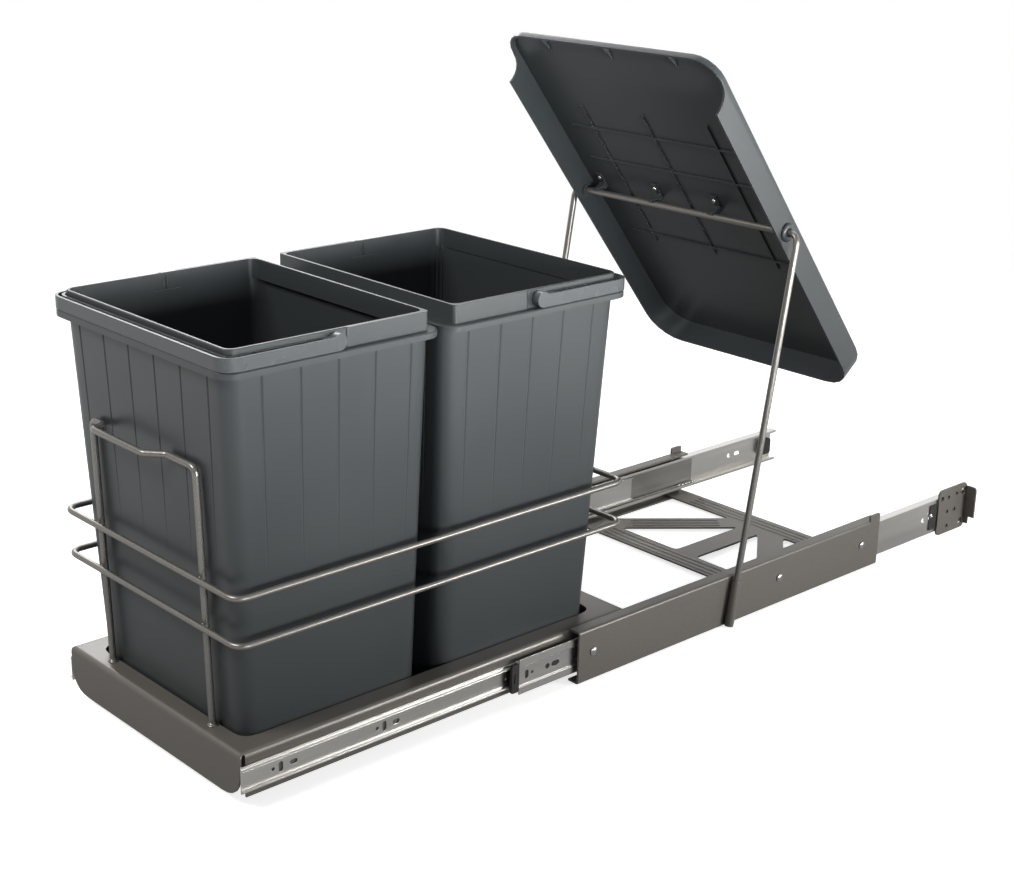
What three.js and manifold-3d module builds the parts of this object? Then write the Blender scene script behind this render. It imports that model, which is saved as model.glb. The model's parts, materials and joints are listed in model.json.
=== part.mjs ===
// A pull-out double waste bin for a kitchen cabinet, drawn pulled out with its lid open.
// Millimetres. +X is the right-hand side, -Y is the front, +Z is up. The origin is on the
// cabinet floor, under the foot of the stamped plate that ties the two side channels.

import * as THREE from 'three';
import { mergeVertices } from 'three/addons/utils/BufferGeometryUtils.js';
import Module from 'manifold-3d';

const wasm = await Module();
wasm.setup();

// ---------------------------------------------------------------- driving dimensions

const seat = 0.3;                 // space left between two pieces that touch
const cornerSteps = 5;            // faces round each corner of a moulding
const originPlace = 334;          // from the channels' front ends back to the origin

// ball slides, three members a side
const slideThickness = 9.9;
const slideCentreHeight = 25.5;
const slideSheet = 1.2;
const outerRailHeight = 35.3;
const outerRailReach = 8.9;       // how far its flanges stand out from the cabinet side
const outerRailLip = 1.6;
const outerRailFront = 10;
const outerRailLength = 557;
const middleRailHeight = 31;
const middleRailRecess = 1.2;     // its web lies this far in from its edges
const middleRailFront = -64;
const middleRailLength = 398;
const middleRailBand = 8.8;       // its recessed web reaches this far from its centre line
const innerRailHeight = 22;
const innerRailLength = 492;
const innerRailTip = 5.9;         // where its flanges end, from the cabinet side
const innerRailThroat = 7.6;      // half the height of its hollow
const cageRoom = 1.1;             // between the outer and the middle web
const cageSheet = 0.5;
const cageLength = 262;
const outerCageFront = 170;
const innerCageFront = -70;
const outerBallRadius = 1.75;
const innerBallRadius = 1.25;
const ballsInARow = 6;
const ballPitch = 9;
const ballClearance = 0.15;

// side channels
const channelLength = 416;
const channelHeight = 48;
const channelSheet = 2;
const channelFlange = 12;
const channelBend = 2.5;
const channelTabLength = 15;
const channelTabRise = 6;
const rivetPlaces = [17, 262.6, channelLength - 27.5];
const rivetRadius = 2.2;
const rivetHeadRadius = 4.2;
const rivetHeadHeight = 1.8;
const rivetHeight = 26.5;
const bufferInset = 7;            // from the rear end of the outer rail
const bufferLength = 15;
const bufferHeight = 18;

// floor plate
const plateSheet = 2;
const plateFront = 256;
const plateLength = 160;
const plateBarWidth = 26;
const plateStrutHalf = 13;
const plateBraceWidth = 26;
const plateBraceTop = 36;         // where the braces' outer edges meet the rear bar
const plateBraceSlope = 1.23;
const plateBeadWidth = 4;
const plateBeadHeight = 1.5;
const plateBeadHalf = 98;
const plateBeadPlaces = [0.25, 0.5, 0.75];    // across each bar, as a share of its width
const braceBeadShare = 0.72;      // a brace's bead is this share of the brace's length
const plateLap = 8.5;             // how far its bars lie over the channel flanges
const plateFootLength = 40;       // a pressed foot under the strut rests on the cabinet floor
const plateFootWidth = 20;
const plateFootCorner = 4;

// rear bracket
const bracketLength = 49;
const bracketBottom = 3;
const bracketHeight = 49;
const bracketSheet = 2;
const bracketFlange = 14;

// lid wire, its sockets and the rod on which the lid turns
const lidWireRadius = 3;
const socketWall = 0.95;
const socketLength = 43;
const socketFoot = 1;
const socketPlace = 188;          // from the channels' front ends
const wireBend = 10;
const rodPlace = 247;
const rodHeight = 354.5;

// tray
const trayWidth = 240;
const trayLength = 402;
const trayFront = -332;           // its front face when pulled out
const trayTop = 46;
const traySheet = 1.5;
const traySkirt = 36;
const apronHeight = 38;
const apronCorner = 24;
const trayBend = 5;
const trayRearLip = 14;
const windowHalfWidth = 101.5;
const windowFront = 16;           // from the tray's front face
const windowRear = 378;
const windowCorner = 14;
const panSheet = 1.2;

// wire guard round the bins
const guardWireRadius = 2.5;
const guardHalfWidth = 118.5;
const guardRear = 392;            // from the tray's front face
const guardBend = 12;
const guardHeights = [82.4, 119.4];   // above the tray
const hoopWireRadius = 2.75;
const hoopLeft = -73;
const hoopRight = 68.3;
const hoopHeight = 204;
const hoopFootPlace = 11.5;       // from the tray's front face
const hoopTopPlace = 4.9;
const hoopReach = 12;             // how far its grip stands out to the front
const gripLeft = -53;
const gripRight = 17.6;
const gripEnd = 31;
const rearHoopHalfWidth = 60;
const rearHoopRise = 5;

// bins: two copies of one moulding, back to back
const binWidth = 237.6;
const binLength = 195;
const binHeight = 333.2;
const binPitch = 198.5;
const binsAhead = 2;              // the front bin's flange stands this far ahead of the tray
const binWall = 2.2;
const collarHeight = 14.5;
const flangeHeight = 5;
const sideInset = 8;              // from the flange's edge in to the wall, at the top
const handleSideInset = 7;
const plainSideInset = 5;
const sideDraft = 12;
const handleSideDraft = 14.6;
const plainSideDraft = 4.1;
const binCorner = 14;
const flangeCorner = 16;
const collarCorner = 8;
const collarInset = 8.2;
const thickCollarInset = 6.8;
const collarEnd = 10.5;           // from the flange's edge on the side without the handle
const thickCollarStart = 107.5;
const groovePitchAcross = 34.5;
const groovePitchAlong = 33.4;
const grooveShiftAlong = 3.6;
const grooveWidth = 2.4;
const grooveDepth = 1;
const grooveFoot = 150;

// bail handles
const handleInset = 0.8;
const handleFrontInset = 0.6;
const handleWidth = 6.75;
const handleHeight = 10.3;
const handleCorner = 15;
const handleEndRadius = 6.3;
const handlePivot = 97.9;         // from the flange's edge on the handle's side
const handlePinRadius = 2.4;
const handlePinClearance = 0.3;
const handleGrooveWidth = 2.6;
const handleGrooveDepth = 2.5;

// lid
const lidOpenAngle = 51.5;        // degrees from level
const lidHalfWidth = 125;
const lidWall = 2.2;
const lidSkirt = 26;
const lidAhead = 191;             // from the rod's axis to its front and rear edges
const lidBehind = 202;
const lidRodToPlate = 12.3;       // from the rod's axis up to the lid's underside
const lidFrontCorner = 24;
const lidRearCorner = 32;
const lidFrontSkirt = 7;
const lidNotchStart = 150;
const lidNotchEnd = 168;
const lidRibHeight = 1.6;
const lidRibThickness = 1.6;
const lidCrossRibs = [79, 37, -16, -62];
const lidLongRibs = [-76, 0, 76];
const lidLongRibFront = 107;
const lidLongRibRear = -72;
const lidCrossRibHalf = 105;
const lidHubRadius = 6;
const lidHubLength = 2.8;
const lidGusset = 24;
const lidPivotClearance = 0.4;
const clipPlaces = [-107, -35, 38];
const clipWidth = 8;
const clipSheet = 1.8;
const clipFoot = 15;
const clipGrip = 1.2;             // how far its jaws reach past the rod's axis

// ---------------------------------------------------------------- sizes that follow

const trayHalf = trayWidth / 2;
const cabinetFace = trayHalf + seat + slideThickness;     // cabinet side of each slide
const channelInside = cabinetFace + seat;
const channelOutside = channelInside + channelSheet;
const flangeTop = binHeight - collarHeight;
const binSeat = trayTop - traySkirt + panSheet + seat;
const wireLean = (rodPlace - socketPlace) / (rodHeight - socketFoot);
const wireSide = channelOutside + seat + lidWireRadius + seat + socketWall;
const lidAngle = THREE.MathUtils.degToRad(lidOpenAngle);

// ---------------------------------------------------------------- shapes and solids

const point = (x, y) => new THREE.Vector2(x, y);
const place = (x, y, z) => new THREE.Vector3(x, y, z);

// Turns a closed geometry into a solid that can be cut and joined.
function toSolid(geometry) {
  const bare = geometry.clone();
  bare.deleteAttribute('normal');
  bare.deleteAttribute('uv');
  const merged = mergeVertices(bare, 1e-4);
  return new wasm.Manifold(new wasm.Mesh({
    numProp: 3,
    vertProperties: new Float32Array(merged.attributes.position.array),
    triVerts: new Uint32Array(merged.index.array),
  }));
}

function toGeometry(solid) {
  const mesh = solid.getMesh();
  const geometry = new THREE.BufferGeometry();
  geometry.setAttribute('position', new THREE.BufferAttribute(mesh.vertProperties, 3));
  geometry.setIndex(new THREE.BufferAttribute(mesh.triVerts, 1));
  geometry.computeVertexNormals();
  return geometry;
}

const join = (first, ...others) => others.reduce((sum, solid) => sum.add(solid), first);
const cut = (first, ...others) => others.reduce((rest, solid) => rest.subtract(solid), first);

// A flat outline whose corners are rounded; each corner is [x, y, radius].
function roundedOutline(corners) {
  const shape = new THREE.Shape();
  corners.forEach(([x, y, radius], index) => {
    const [beforeX, beforeY] = corners[(index + corners.length - 1) % corners.length];
    const [afterX, afterY] = corners[(index + 1) % corners.length];
    const corner = point(x, y);
    const start = point(beforeX, beforeY).sub(corner).setLength(radius).add(corner);
    const end = point(afterX, afterY).sub(corner).setLength(radius).add(corner);
    if (index === 0) {
      shape.moveTo(start.x, start.y);
    } else {
      shape.lineTo(start.x, start.y);
    }
    if (radius > 0) {
      shape.quadraticCurveTo(x, y, end.x, end.y);
    }
  });
  shape.closePath();
  return shape;
}

function roundedRectangle(left, right, low, high, radius) {
  return roundedOutline([
    [left, low, radius],
    [right, low, radius],
    [right, high, radius],
    [left, high, radius],
  ]);
}

// A slot, or a round hole where its length equals its height.
function slotOutline(x, y, length, height, sides = 12) {
  const radius = Math.min(length, height) / 2;
  const points = [];
  for (let step = 0; step < sides; step += 1) {
    const angle = (step + 0.5) / sides * 2 * Math.PI;
    const acrossShift = Math.sign(Math.cos(angle)) * (length / 2 - radius);
    const upShift = Math.sign(Math.sin(angle)) * (height / 2 - radius);
    points.push(point(
      x + acrossShift + radius * Math.cos(angle),
      y + upShift + radius * Math.sin(angle),
    ));
  }
  return new THREE.Shape(points);
}

function extrusion(shape, depth, curveSegments) {
  return new THREE.ExtrudeGeometry(shape, { depth, curveSegments, bevelEnabled: false });
}

// An outline in X and Z, drawn out along Y.
function alongY(shape, start, end, curveSegments = 4) {
  return extrusion(shape, end - start, curveSegments).rotateX(Math.PI / 2).translate(0, end, 0);
}

// An outline in Y and Z, drawn out along X.
function alongX(shape, start, end, curveSegments = 4) {
  const turn = new THREE.Matrix4().makeBasis(place(0, 1, 0), place(0, 0, 1), place(1, 0, 0));
  return extrusion(shape, end - start, curveSegments).applyMatrix4(turn).translate(start, 0, 0);
}

// An outline in X and Y, drawn out along Z.
function alongZ(shape, start, end, curveSegments = 4) {
  return extrusion(shape, end - start, curveSegments).translate(0, 0, start);
}

function block(left, right, front, rear, low, high) {
  const geometry = new THREE.BoxGeometry(right - left, rear - front, high - low);
  return geometry.translate((left + right) / 2, (front + rear) / 2, (low + high) / 2);
}

// Skins a body over level rings of points; a looped body joins its last ring to its first.
function loft(rings, looped = false) {
  const count = rings[0].length;
  const positions = rings.flat().flatMap((spot) => [spot.x, spot.y, spot.z]);
  const indices = [];
  const bands = looped ? rings.length : rings.length - 1;
  for (let level = 0; level < bands; level += 1) {
    const low = level * count;
    const high = (level + 1) % rings.length * count;
    for (let step = 0; step < count; step += 1) {
      const next = (step + 1) % count;
      indices.push(low + step, low + next, high + next, low + step, high + next, high + step);
    }
  }
  if (!looped) {
    const cover = (ring) => THREE.ShapeUtils.triangulateShape(ring.map((spot) => point(spot.x, spot.y)), []);
    const last = (rings.length - 1) * count;
    cover(rings[0]).forEach(([a, b, c]) => indices.push(a, c, b));
    cover(rings[rings.length - 1]).forEach(([a, b, c]) => indices.push(last + a, last + b, last + c));
  }
  const geometry = new THREE.BufferGeometry();
  geometry.setAttribute('position', new THREE.Float32BufferAttribute(positions, 3));
  geometry.setIndex(indices);
  return geometry;
}

// A level ring round a rectangle with round corners, anticlockwise from its front side.
// grooves holds the places of the grooves across (on front and rear) and along (on the sides).
function ringAt(height, size, grooves = { across: [], along: [], width: 0, depth: 0 }) {
  const { halfWidth, front, rear } = size;
  const frontRadius = size.frontRadius ?? size.radius;
  const rearRadius = size.rearRadius ?? size.radius;
  const ring = [];
  const groove = (spot, direction, inward) => {
    const half = direction.clone().multiplyScalar(grooves.width / 2);
    ring.push(spot.clone().sub(half));
    ring.push(spot.clone().addScaledVector(inward, grooves.depth));
    ring.push(spot.clone().add(half));
  };
  const corner = (x, y, radius, turn) => {
    for (let step = 0; step <= cornerSteps; step += 1) {
      const angle = (turn + step / cornerSteps) * Math.PI / 2;
      ring.push(place(x + radius * Math.cos(angle), y + radius * Math.sin(angle), height));
    }
  };
  const across = grooves.across;
  const along = grooves.along;
  across.forEach((x) => groove(place(x, front, height), place(1, 0, 0), place(0, 1, 0)));
  corner(halfWidth - frontRadius, front + frontRadius, frontRadius, -1);
  along.forEach((y) => groove(place(halfWidth, y, height), place(0, 1, 0), place(-1, 0, 0)));
  corner(halfWidth - rearRadius, rear - rearRadius, rearRadius, 0);
  across.slice().reverse().forEach((x) => groove(place(x, rear, height), place(-1, 0, 0), place(0, -1, 0)));
  corner(rearRadius - halfWidth, rear - rearRadius, rearRadius, 1);
  along.slice().reverse().forEach((y) => (
    groove(place(-halfWidth, y, height), place(0, -1, 0), place(1, 0, 0))));
  corner(frontRadius - halfWidth, front + frontRadius, frontRadius, 2);
  return ring;
}

// ---------------------------------------------------------------- bent wire

// A wire's centre line, with a step only where it bends.
class WireLine extends THREE.Curve {
  constructor(points) {
    super();
    this.points = points;
  }

  getPoint(fraction, target = new THREE.Vector3()) {
    const last = this.points.length - 1;
    const along = Math.min(Math.max(fraction, 0), 1) * last;
    const index = Math.min(Math.floor(along), last - 1);
    return target.lerpVectors(this.points[index], this.points[index + 1], along - index);
  }

  getUtoTmapping(fraction) {
    return fraction;
  }
}

// The points of a wire bent round each inner corner of a path.
function bend(path, radius, steps = 5, closed = false) {
  const points = closed ? [] : [path[0]];
  const first = closed ? 0 : 1;
  const last = closed ? path.length : path.length - 1;
  for (let index = first; index < last; index += 1) {
    const corner = path[index];
    const before = path[(index + path.length - 1) % path.length].clone().sub(corner);
    const after = path[(index + 1) % path.length].clone().sub(corner);
    const halfAngle = before.angleTo(after) / 2;
    const reach = Math.min(radius / Math.tan(halfAngle), before.length() * 0.45, after.length() * 0.45);
    const start = before.normalize().multiplyScalar(reach).add(corner);
    const end = after.normalize().multiplyScalar(reach).add(corner);
    const curve = new THREE.QuadraticBezierCurve3(start, corner, end);
    points.push(...curve.getPoints(steps));
  }
  if (closed) {
    const middle = points[0].clone().lerp(points[points.length - 1], 0.5);
    return [middle, ...points, middle.clone()];
  }
  points.push(path[path.length - 1]);
  return points;
}

function wire(points, radius, sides = 10) {
  const section = [];
  for (let step = 0; step < sides; step += 1) {
    const angle = step / sides * 2 * Math.PI;
    section.push(point(radius * Math.cos(angle), radius * Math.sin(angle)));
  }
  const options = { steps: points.length - 1, bevelEnabled: false, extrudePath: new WireLine(points) };
  return new THREE.ExtrudeGeometry(new THREE.Shape(section), options);
}

function closedWire(points, radius, sides = 10) {
  return new THREE.TubeGeometry(new WireLine(points), points.length - 1, radius, sides, true);
}

// ---------------------------------------------------------------- ball slides

// A slide section is drawn as [depth from the cabinet side, height] for its upper half.
function slideOutline(side, upper) {
  const lower = upper.map(([depth, height]) => [depth, -height]).reverse();
  const turned = [...upper, ...lower];
  return new THREE.Shape(turned.map(([depth, height]) => (
    point(side * (cabinetFace - depth), slideCentreHeight + height))));
}

// Holes through a web, cut across X: each is [place, height from the centre line, length, width].
function slideHoles(side, holes, front) {
  const inside = side * (cabinetFace - slideThickness - 1);
  const outside = side * (cabinetFace + 1);
  return holes.map(([along, height, length, width]) => {
    const outline = slotOutline(front + along, slideCentreHeight + height, length, width);
    return toSolid(alongX(outline, Math.min(inside, outside), Math.max(inside, outside)));
  });
}

const outerRailHalf = outerRailHeight / 2;
const raceHeight = outerRailHalf - slideSheet;            // underside of the outer flange
const middleEdge = slideSheet + cageRoom;
const middleFace = middleEdge + middleRailRecess;
const middleBack = middleFace + slideSheet;
const middleHalf = middleRailHeight / 2;
const middleFlangeTop = raceHeight - 2 * outerBallRadius - 2 * ballClearance;
const middleFlangeReach = 7.6;
const middleThroat = middleFlangeTop - slideSheet;
const innerHalf = innerRailHeight / 2;
const innerWeb = slideThickness - slideSheet;
const innerFlangeTop = middleThroat - 2 * innerBallRadius - 2 * ballClearance;

function outerRail(side) {
  const drop = raceHeight - outerRailLip;
  const section = slideOutline(side, [
    [0, outerRailHalf],
    [outerRailReach, outerRailHalf],
    [outerRailReach, drop],
    [outerRailReach - slideSheet, drop],
    [outerRailReach - slideSheet, raceHeight],
    [slideSheet, raceHeight],
  ]);
  const holes = [[485, 0, 5, 5], [499, 0, 9, 4.5]];
  const rivetHoles = rivetPlaces.map((spot) => [
    spot - outerRailFront,
    rivetHeight - slideCentreHeight,
    2 * (rivetRadius + seat),
    2 * (rivetRadius + seat),
  ]);
  const rail = toSolid(alongY(section, outerRailFront, outerRailFront + outerRailLength));
  return toGeometry(cut(rail, ...slideHoles(side, [...holes, ...rivetHoles], outerRailFront)));
}

function middleRail(side) {
  const section = slideOutline(side, [
    [middleFace, middleRailBand - 1],
    [middleEdge, middleRailBand],
    [middleEdge, middleHalf],
    [middleFace, middleHalf],
    [middleFace, middleFlangeTop],
    [middleFlangeReach, middleFlangeTop],
    [middleFlangeReach, middleThroat],
    [middleBack, middleThroat],
  ]);
  const holes = [[9.5, 0, 4, 8], [15.6, 0, 3, 3], [33, 0, 5, 5], [42, 0, 9, 5]];
  const rail = toSolid(alongY(section, middleRailFront, middleRailFront + middleRailLength));
  return toGeometry(cut(rail, ...slideHoles(side, holes, middleRailFront)));
}

function innerRail(side) {
  const section = slideOutline(side, [
    [innerWeb, innerRailThroat],
    [innerRailTip, innerRailThroat],
    [innerRailTip, innerFlangeTop],
    [innerWeb, innerFlangeTop],
    [innerWeb, innerHalf],
    [slideThickness, innerHalf],
  ]);
  const hole = 3;
  const holes = [28, 125.3, 257.8].flatMap((start) => [
    [start, 0, hole, hole],
    [start + 7, 0, 4, 8],
    [start + 18.5, 0, 7, 4],
  ]);
  const rail = toSolid(alongY(section, trayFront, trayFront + innerRailLength));
  return toGeometry(cut(rail, ...slideHoles(side, holes, trayFront)));
}

// A ball cage: a thin folded strip whose arms carry a row of balls at each end, top and bottom.
function ballCage(side, upper, front, ballDepth, ballHeight, ballRadius) {
  const strip = toSolid(alongY(slideOutline(side, upper), front, front + cageLength));
  const balls = [];
  for (const height of [ballHeight, -ballHeight]) {
    for (let index = 0; index < ballsInARow; index += 1) {
      const inset = ballPitch * (1 + index % (ballsInARow / 2));
      const along = index < ballsInARow / 2 ? front + inset : front + cageLength - inset;
      const ball = new THREE.SphereGeometry(ballRadius, 6, 4).rotateX(Math.PI / 2);
      ball.translate(side * (cabinetFace - ballDepth), along, slideCentreHeight + height);
      balls.push(toSolid(ball));
    }
  }
  return toGeometry(join(strip, ...balls));
}

function outerCage(side) {
  const back = slideSheet + seat;
  const armDepth = middleFace + seat;
  const armTop = raceHeight - seat;
  const ballHeight = (raceHeight + middleFlangeTop) / 2;
  const ballDepth = armDepth + outerBallRadius;
  const armEnd = ballDepth + outerBallRadius;
  const upper = [
    [back, armTop],
    [armDepth + cageSheet, armTop],
    [armDepth + cageSheet, ballHeight + cageSheet / 2],
    [armEnd, ballHeight + cageSheet / 2],
    [armEnd, ballHeight - cageSheet / 2],
    [armDepth, ballHeight - cageSheet / 2],
    [armDepth, armTop - cageSheet],
    [back + cageSheet, armTop - cageSheet],
  ];
  return ballCage(side, upper, outerCageFront, ballDepth, ballHeight, outerBallRadius);
}

function innerCage(side) {
  const back = middleBack + seat;
  const ballHeight = (middleThroat + innerFlangeTop) / 2;
  const ballDepth = innerRailTip + innerBallRadius;
  const upper = [
    [back, ballHeight + cageSheet / 2],
    [ballDepth + innerBallRadius, ballHeight + cageSheet / 2],
    [ballDepth + innerBallRadius, ballHeight - cageSheet / 2],
    [back + cageSheet, ballHeight - cageSheet / 2],
  ];
  return ballCage(side, upper, innerCageFront, ballDepth, ballHeight, innerBallRadius);
}

// A rubber buffer at the back end of the outer rail stops the inner rail.
function railBuffer(side) {
  const nose = 3;
  const rear = outerRailFront + outerRailLength - bufferInset;
  const near = side * (cabinetFace - slideSheet - seat);
  const far = side * (cabinetFace - outerRailReach + slideSheet);
  const outline = roundedRectangle(
    rear - bufferLength,
    rear,
    slideCentreHeight - bufferHeight / 2,
    slideCentreHeight + bufferHeight / 2,
    nose,
  );
  return alongX(outline, Math.min(near, far), Math.max(near, far));
}

// ---------------------------------------------------------------- cabinet side pieces

function sideChannel(side) {
  const inner = channelOutside - channelFlange;
  const section = roundedOutline([
    [side * channelOutside, 0, channelBend],
    [side * channelOutside, channelHeight, channelBend],
    [side * inner, channelHeight, 0],
    [side * inner, channelHeight - channelSheet, 0],
    [side * channelInside, channelHeight - channelSheet, channelBend - channelSheet],
    [side * channelInside, channelSheet, channelBend - channelSheet],
    [side * inner, channelSheet, 0],
    [side * inner, 0, 0],
  ]);
  const low = Math.min(side * channelInside, side * channelOutside);
  const tab = roundedOutline([
    [channelLength - channelTabLength, channelHeight - channelBend, 0],
    [channelLength, channelHeight - channelBend, 0],
    [channelLength, channelHeight + channelTabRise, 2],
    [channelLength - channelTabLength, channelHeight + channelTabRise, 2],
  ]);
  const body = toSolid(alongY(section, 0, channelLength));
  const ear = toSolid(alongX(tab, low, low + channelSheet));
  const holes = rivetPlaces.map((spot) => {
    const outline = slotOutline(spot, rivetHeight, 2 * (rivetRadius + seat), 2 * (rivetRadius + seat));
    return toSolid(alongX(outline, low - 1, low + channelSheet + 1));
  });
  return toGeometry(cut(join(body, ear), ...holes));
}

// A round-headed rivet through channel and rail, its head outside.
function rivet(side) {
  const profile = [
    point(0, -slideSheet - channelSheet - seat),
    point(rivetRadius, -slideSheet - channelSheet - seat),
    point(rivetRadius, seat),
    point(rivetHeadRadius, seat),
    point(rivetHeadRadius * 0.9, seat + rivetHeadHeight * 0.5),
    point(rivetHeadRadius * 0.55, seat + rivetHeadHeight * 0.9),
    point(0, seat + rivetHeadHeight),
  ];
  return new THREE.LatheGeometry(profile, 12).rotateX(Math.PI / 2).rotateY(side * Math.PI / 2);
}

// The stamped floor plate: two beaded bars that lie on the channels' bottom flanges, a strut
// and two braces between them, and a foot pressed down to the cabinet floor.
function floorPlate() {
  const low = channelSheet + seat;
  const high = low + plateSheet;
  const rear = plateFront + plateLength;
  const frontBar = plateFront + plateBarWidth;
  const rearBar = rear - plateBarWidth;
  const lapEnd = channelOutside - channelFlange + plateLap;
  const braceFoot = plateBraceTop + (rearBar - frontBar) / plateBraceSlope;
  const shift = plateBraceWidth * Math.hypot(1, plateBraceSlope) / plateBraceSlope;
  const innerFoot = braceFoot - shift;
  const innerTop = frontBar + (innerFoot - plateStrutHalf) * plateBraceSlope;
  const half = [
    [lapEnd, plateFront, 2],
    [lapEnd, frontBar, 2],
    [braceFoot, frontBar, 1],
    [plateBraceTop, rearBar, 3],
    [lapEnd, rearBar, 2],
    [lapEnd, rear, 2],
  ];
  const mirrored = half.map(([x, y, radius]) => [-x, y, radius]).reverse();
  const outline = roundedOutline([...half, ...mirrored]);
  for (const side of [-1, 1]) {
    outline.holes.push(roundedOutline([
      [side * plateStrutHalf, frontBar, 3],
      [side * innerFoot, frontBar, 3],
      [side * plateStrutHalf, innerTop, 3],
    ]));
  }
  const plate = toSolid(alongZ(outline, low, high, 3));
  const footArea = (inset) => roundedRectangle(
    inset - plateFootWidth / 2,
    plateFootWidth / 2 - inset,
    originPlace - plateFootLength / 2 + inset,
    originPlace + plateFootLength / 2 - inset,
    plateFootCorner - inset / 2,
  );
  const foot = toSolid(alongZ(footArea(0), 0, (low + high) / 2, 4));
  const hollow = toSolid(alongZ(footArea(plateSheet), plateSheet, high + 1, 4));
  const beads = [];
  const beadLow = (low + high) / 2;
  const beadHigh = high + plateBeadHeight;
  for (const side of [-1, 1]) {
    const length = Math.hypot(braceFoot - plateBraceTop, rearBar - frontBar) * braceBeadShare;
    const strip = alongZ(slotOutline(0, 0, length, plateBeadWidth), beadLow, beadHigh);
    strip.rotateZ(-side * Math.atan(plateBraceSlope));
    const middleX = (braceFoot + plateBraceTop - shift) / 2;
    beads.push(toSolid(strip.translate(side * middleX, (frontBar + rearBar) / 2, 0)));
  }
  for (const bar of [plateFront, rearBar]) {
    for (const fraction of plateBeadPlaces) {
      const across = slotOutline(0, bar + plateBarWidth * fraction, 2 * plateBeadHalf, plateBeadWidth);
      beads.push(toSolid(alongZ(across, beadLow, beadHigh)));
    }
  }
  return toGeometry(cut(join(plate, foot, ...beads), hollow));
}

// The bracket at the rear of the right slide: a rounded plate with a flange folded outward.
function rearBracket() {
  const rear = outerRailFront + outerRailLength;
  const front = rear - bracketLength;
  const top = bracketBottom + bracketHeight;
  const outline = roundedRectangle(front, rear, bracketBottom, top, 6);
  const nearFace = channelInside;
  const plate = toSolid(alongX(outline, nearFace, nearFace + bracketSheet));
  const fold = roundedRectangle(nearFace, nearFace + bracketFlange, bracketBottom + 4, top - 4, 4);
  const flange = toSolid(alongY(fold, rear - bracketSheet, rear));
  const notchTop = bracketBottom + 12;
  const notch = toSolid(block(nearFace + 7, nearFace + bracketFlange + 1, rear - 3, rear + 1, 0, notchTop));
  const holes = [
    [43, top - 9.6, 5],
    [32, top - 9.9, 4],
    [17.6, top - 9.2, 4],
    [6.5, top - 9, 7],
    [32.7, slideCentreHeight + 1, 4],
    [19.6, slideCentreHeight + 1, 4],
    [31, bracketBottom + 7.5, 4],
    [7, bracketBottom + 7.5, 7],
  ].map(([fromRear, height, width]) => {
    const hole = slotOutline(rear - fromRear, height, width, width);
    return toSolid(alongX(hole, nearFace - 1, nearFace + bracketSheet + 1));
  });
  return toGeometry(cut(join(plate, flange), notch, ...holes));
}

// The tube, welded to the channel's web, that takes a leg of the lid wire.
function wireSocket() {
  const bore = lidWireRadius + seat;
  const profile = [
    point(bore, 0),
    point(bore + socketWall, 0),
    point(bore + socketWall, socketLength),
    point(bore, socketLength),
    point(bore, 0),
  ];
  return new THREE.LatheGeometry(profile, 16).rotateX(Math.PI / 2);
}

function lidWire() {
  const foot = socketFoot + 2;
  const footPlace = socketPlace + wireLean * 2;
  const path = [
    place(wireSide, footPlace, foot),
    place(wireSide, rodPlace, rodHeight),
    place(-wireSide, rodPlace, rodHeight),
    place(-wireSide, footPlace, foot),
  ];
  return wire(bend(path, wireBend, 6), lidWireRadius, 12);
}

// ---------------------------------------------------------------- tray and wire guard

function tray() {
  const rear = trayFront + trayLength;
  const skirtFoot = trayTop - traySkirt;
  const apronFoot = trayTop - apronHeight;
  const inner = trayHalf - traySheet;
  const innerBend = trayBend - traySheet;
  const lipFoot = trayTop - trayRearLip;
  // side view of the folded sheet: front apron, top and rear lip
  const folded = roundedOutline([
    [trayFront, apronFoot, 0],
    [trayFront + traySheet, apronFoot, 0],
    [trayFront + traySheet, trayTop - traySheet, innerBend],
    [rear - traySheet, trayTop - traySheet, innerBend],
    [rear - traySheet, lipFoot, 0],
    [rear, lipFoot, 0],
    [rear, trayTop, trayBend],
    [trayFront, trayTop, trayBend],
  ]);
  const frontView = roundedOutline([
    [-trayHalf, apronFoot, apronCorner],
    [trayHalf, apronFoot, apronCorner],
    [trayHalf, trayTop, trayBend],
    [-trayHalf, trayTop, trayBend],
  ]);
  const sheet = toSolid(alongX(folded, -trayHalf, trayHalf, 5));
  const limit = toSolid(alongY(frontView, trayFront - 1, rear + 1, 6));
  const skirts = [-1, 1].map((side) => {
    const section = roundedOutline([
      [side * inner, skirtFoot, 0],
      [side * trayHalf, skirtFoot, 0],
      [side * trayHalf, trayTop, trayBend],
      [side * (trayHalf - 2 * trayBend), trayTop, 0],
      [side * (trayHalf - 2 * trayBend), trayTop - traySheet, 0],
      [side * inner, trayTop - traySheet, innerBend],
    ]);
    return toSolid(alongY(section, trayFront + trayBend, rear - trayBend, 5));
  });
  const opening = toSolid(alongZ(
    roundedRectangle(
      -windowHalfWidth,
      windowHalfWidth,
      trayFront + windowFront,
      trayFront + windowRear,
      windowCorner,
    ),
    trayTop - 2 * traySheet,
    trayTop + 1,
    5,
  ));
  return toGeometry(cut(join(sheet.intersect(limit), ...skirts), opening));
}

// The pan under the tray's window: the bins stand on its floor.
function binPan() {
  const reach = windowCorner * 0.3;
  const floor = trayTop - traySkirt;
  const top = trayTop - traySheet - seat;
  const size = (grow) => roundedRectangle(
    -windowHalfWidth - grow,
    windowHalfWidth + grow,
    trayFront + windowFront - grow,
    trayFront + windowRear + grow,
    windowCorner,
  );
  const outside = toSolid(alongZ(size(reach), floor, top, 4));
  const inside = toSolid(alongZ(size(reach - panSheet), floor + panSheet, top + 1, 4));
  return toGeometry(cut(outside, inside));
}

// How far back the front hoop's legs stand at a height over the tray.
function hoopPlace(height) {
  return trayFront + THREE.MathUtils.lerp(hoopFootPlace, hoopTopPlace, height / hoopHeight);
}

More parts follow.
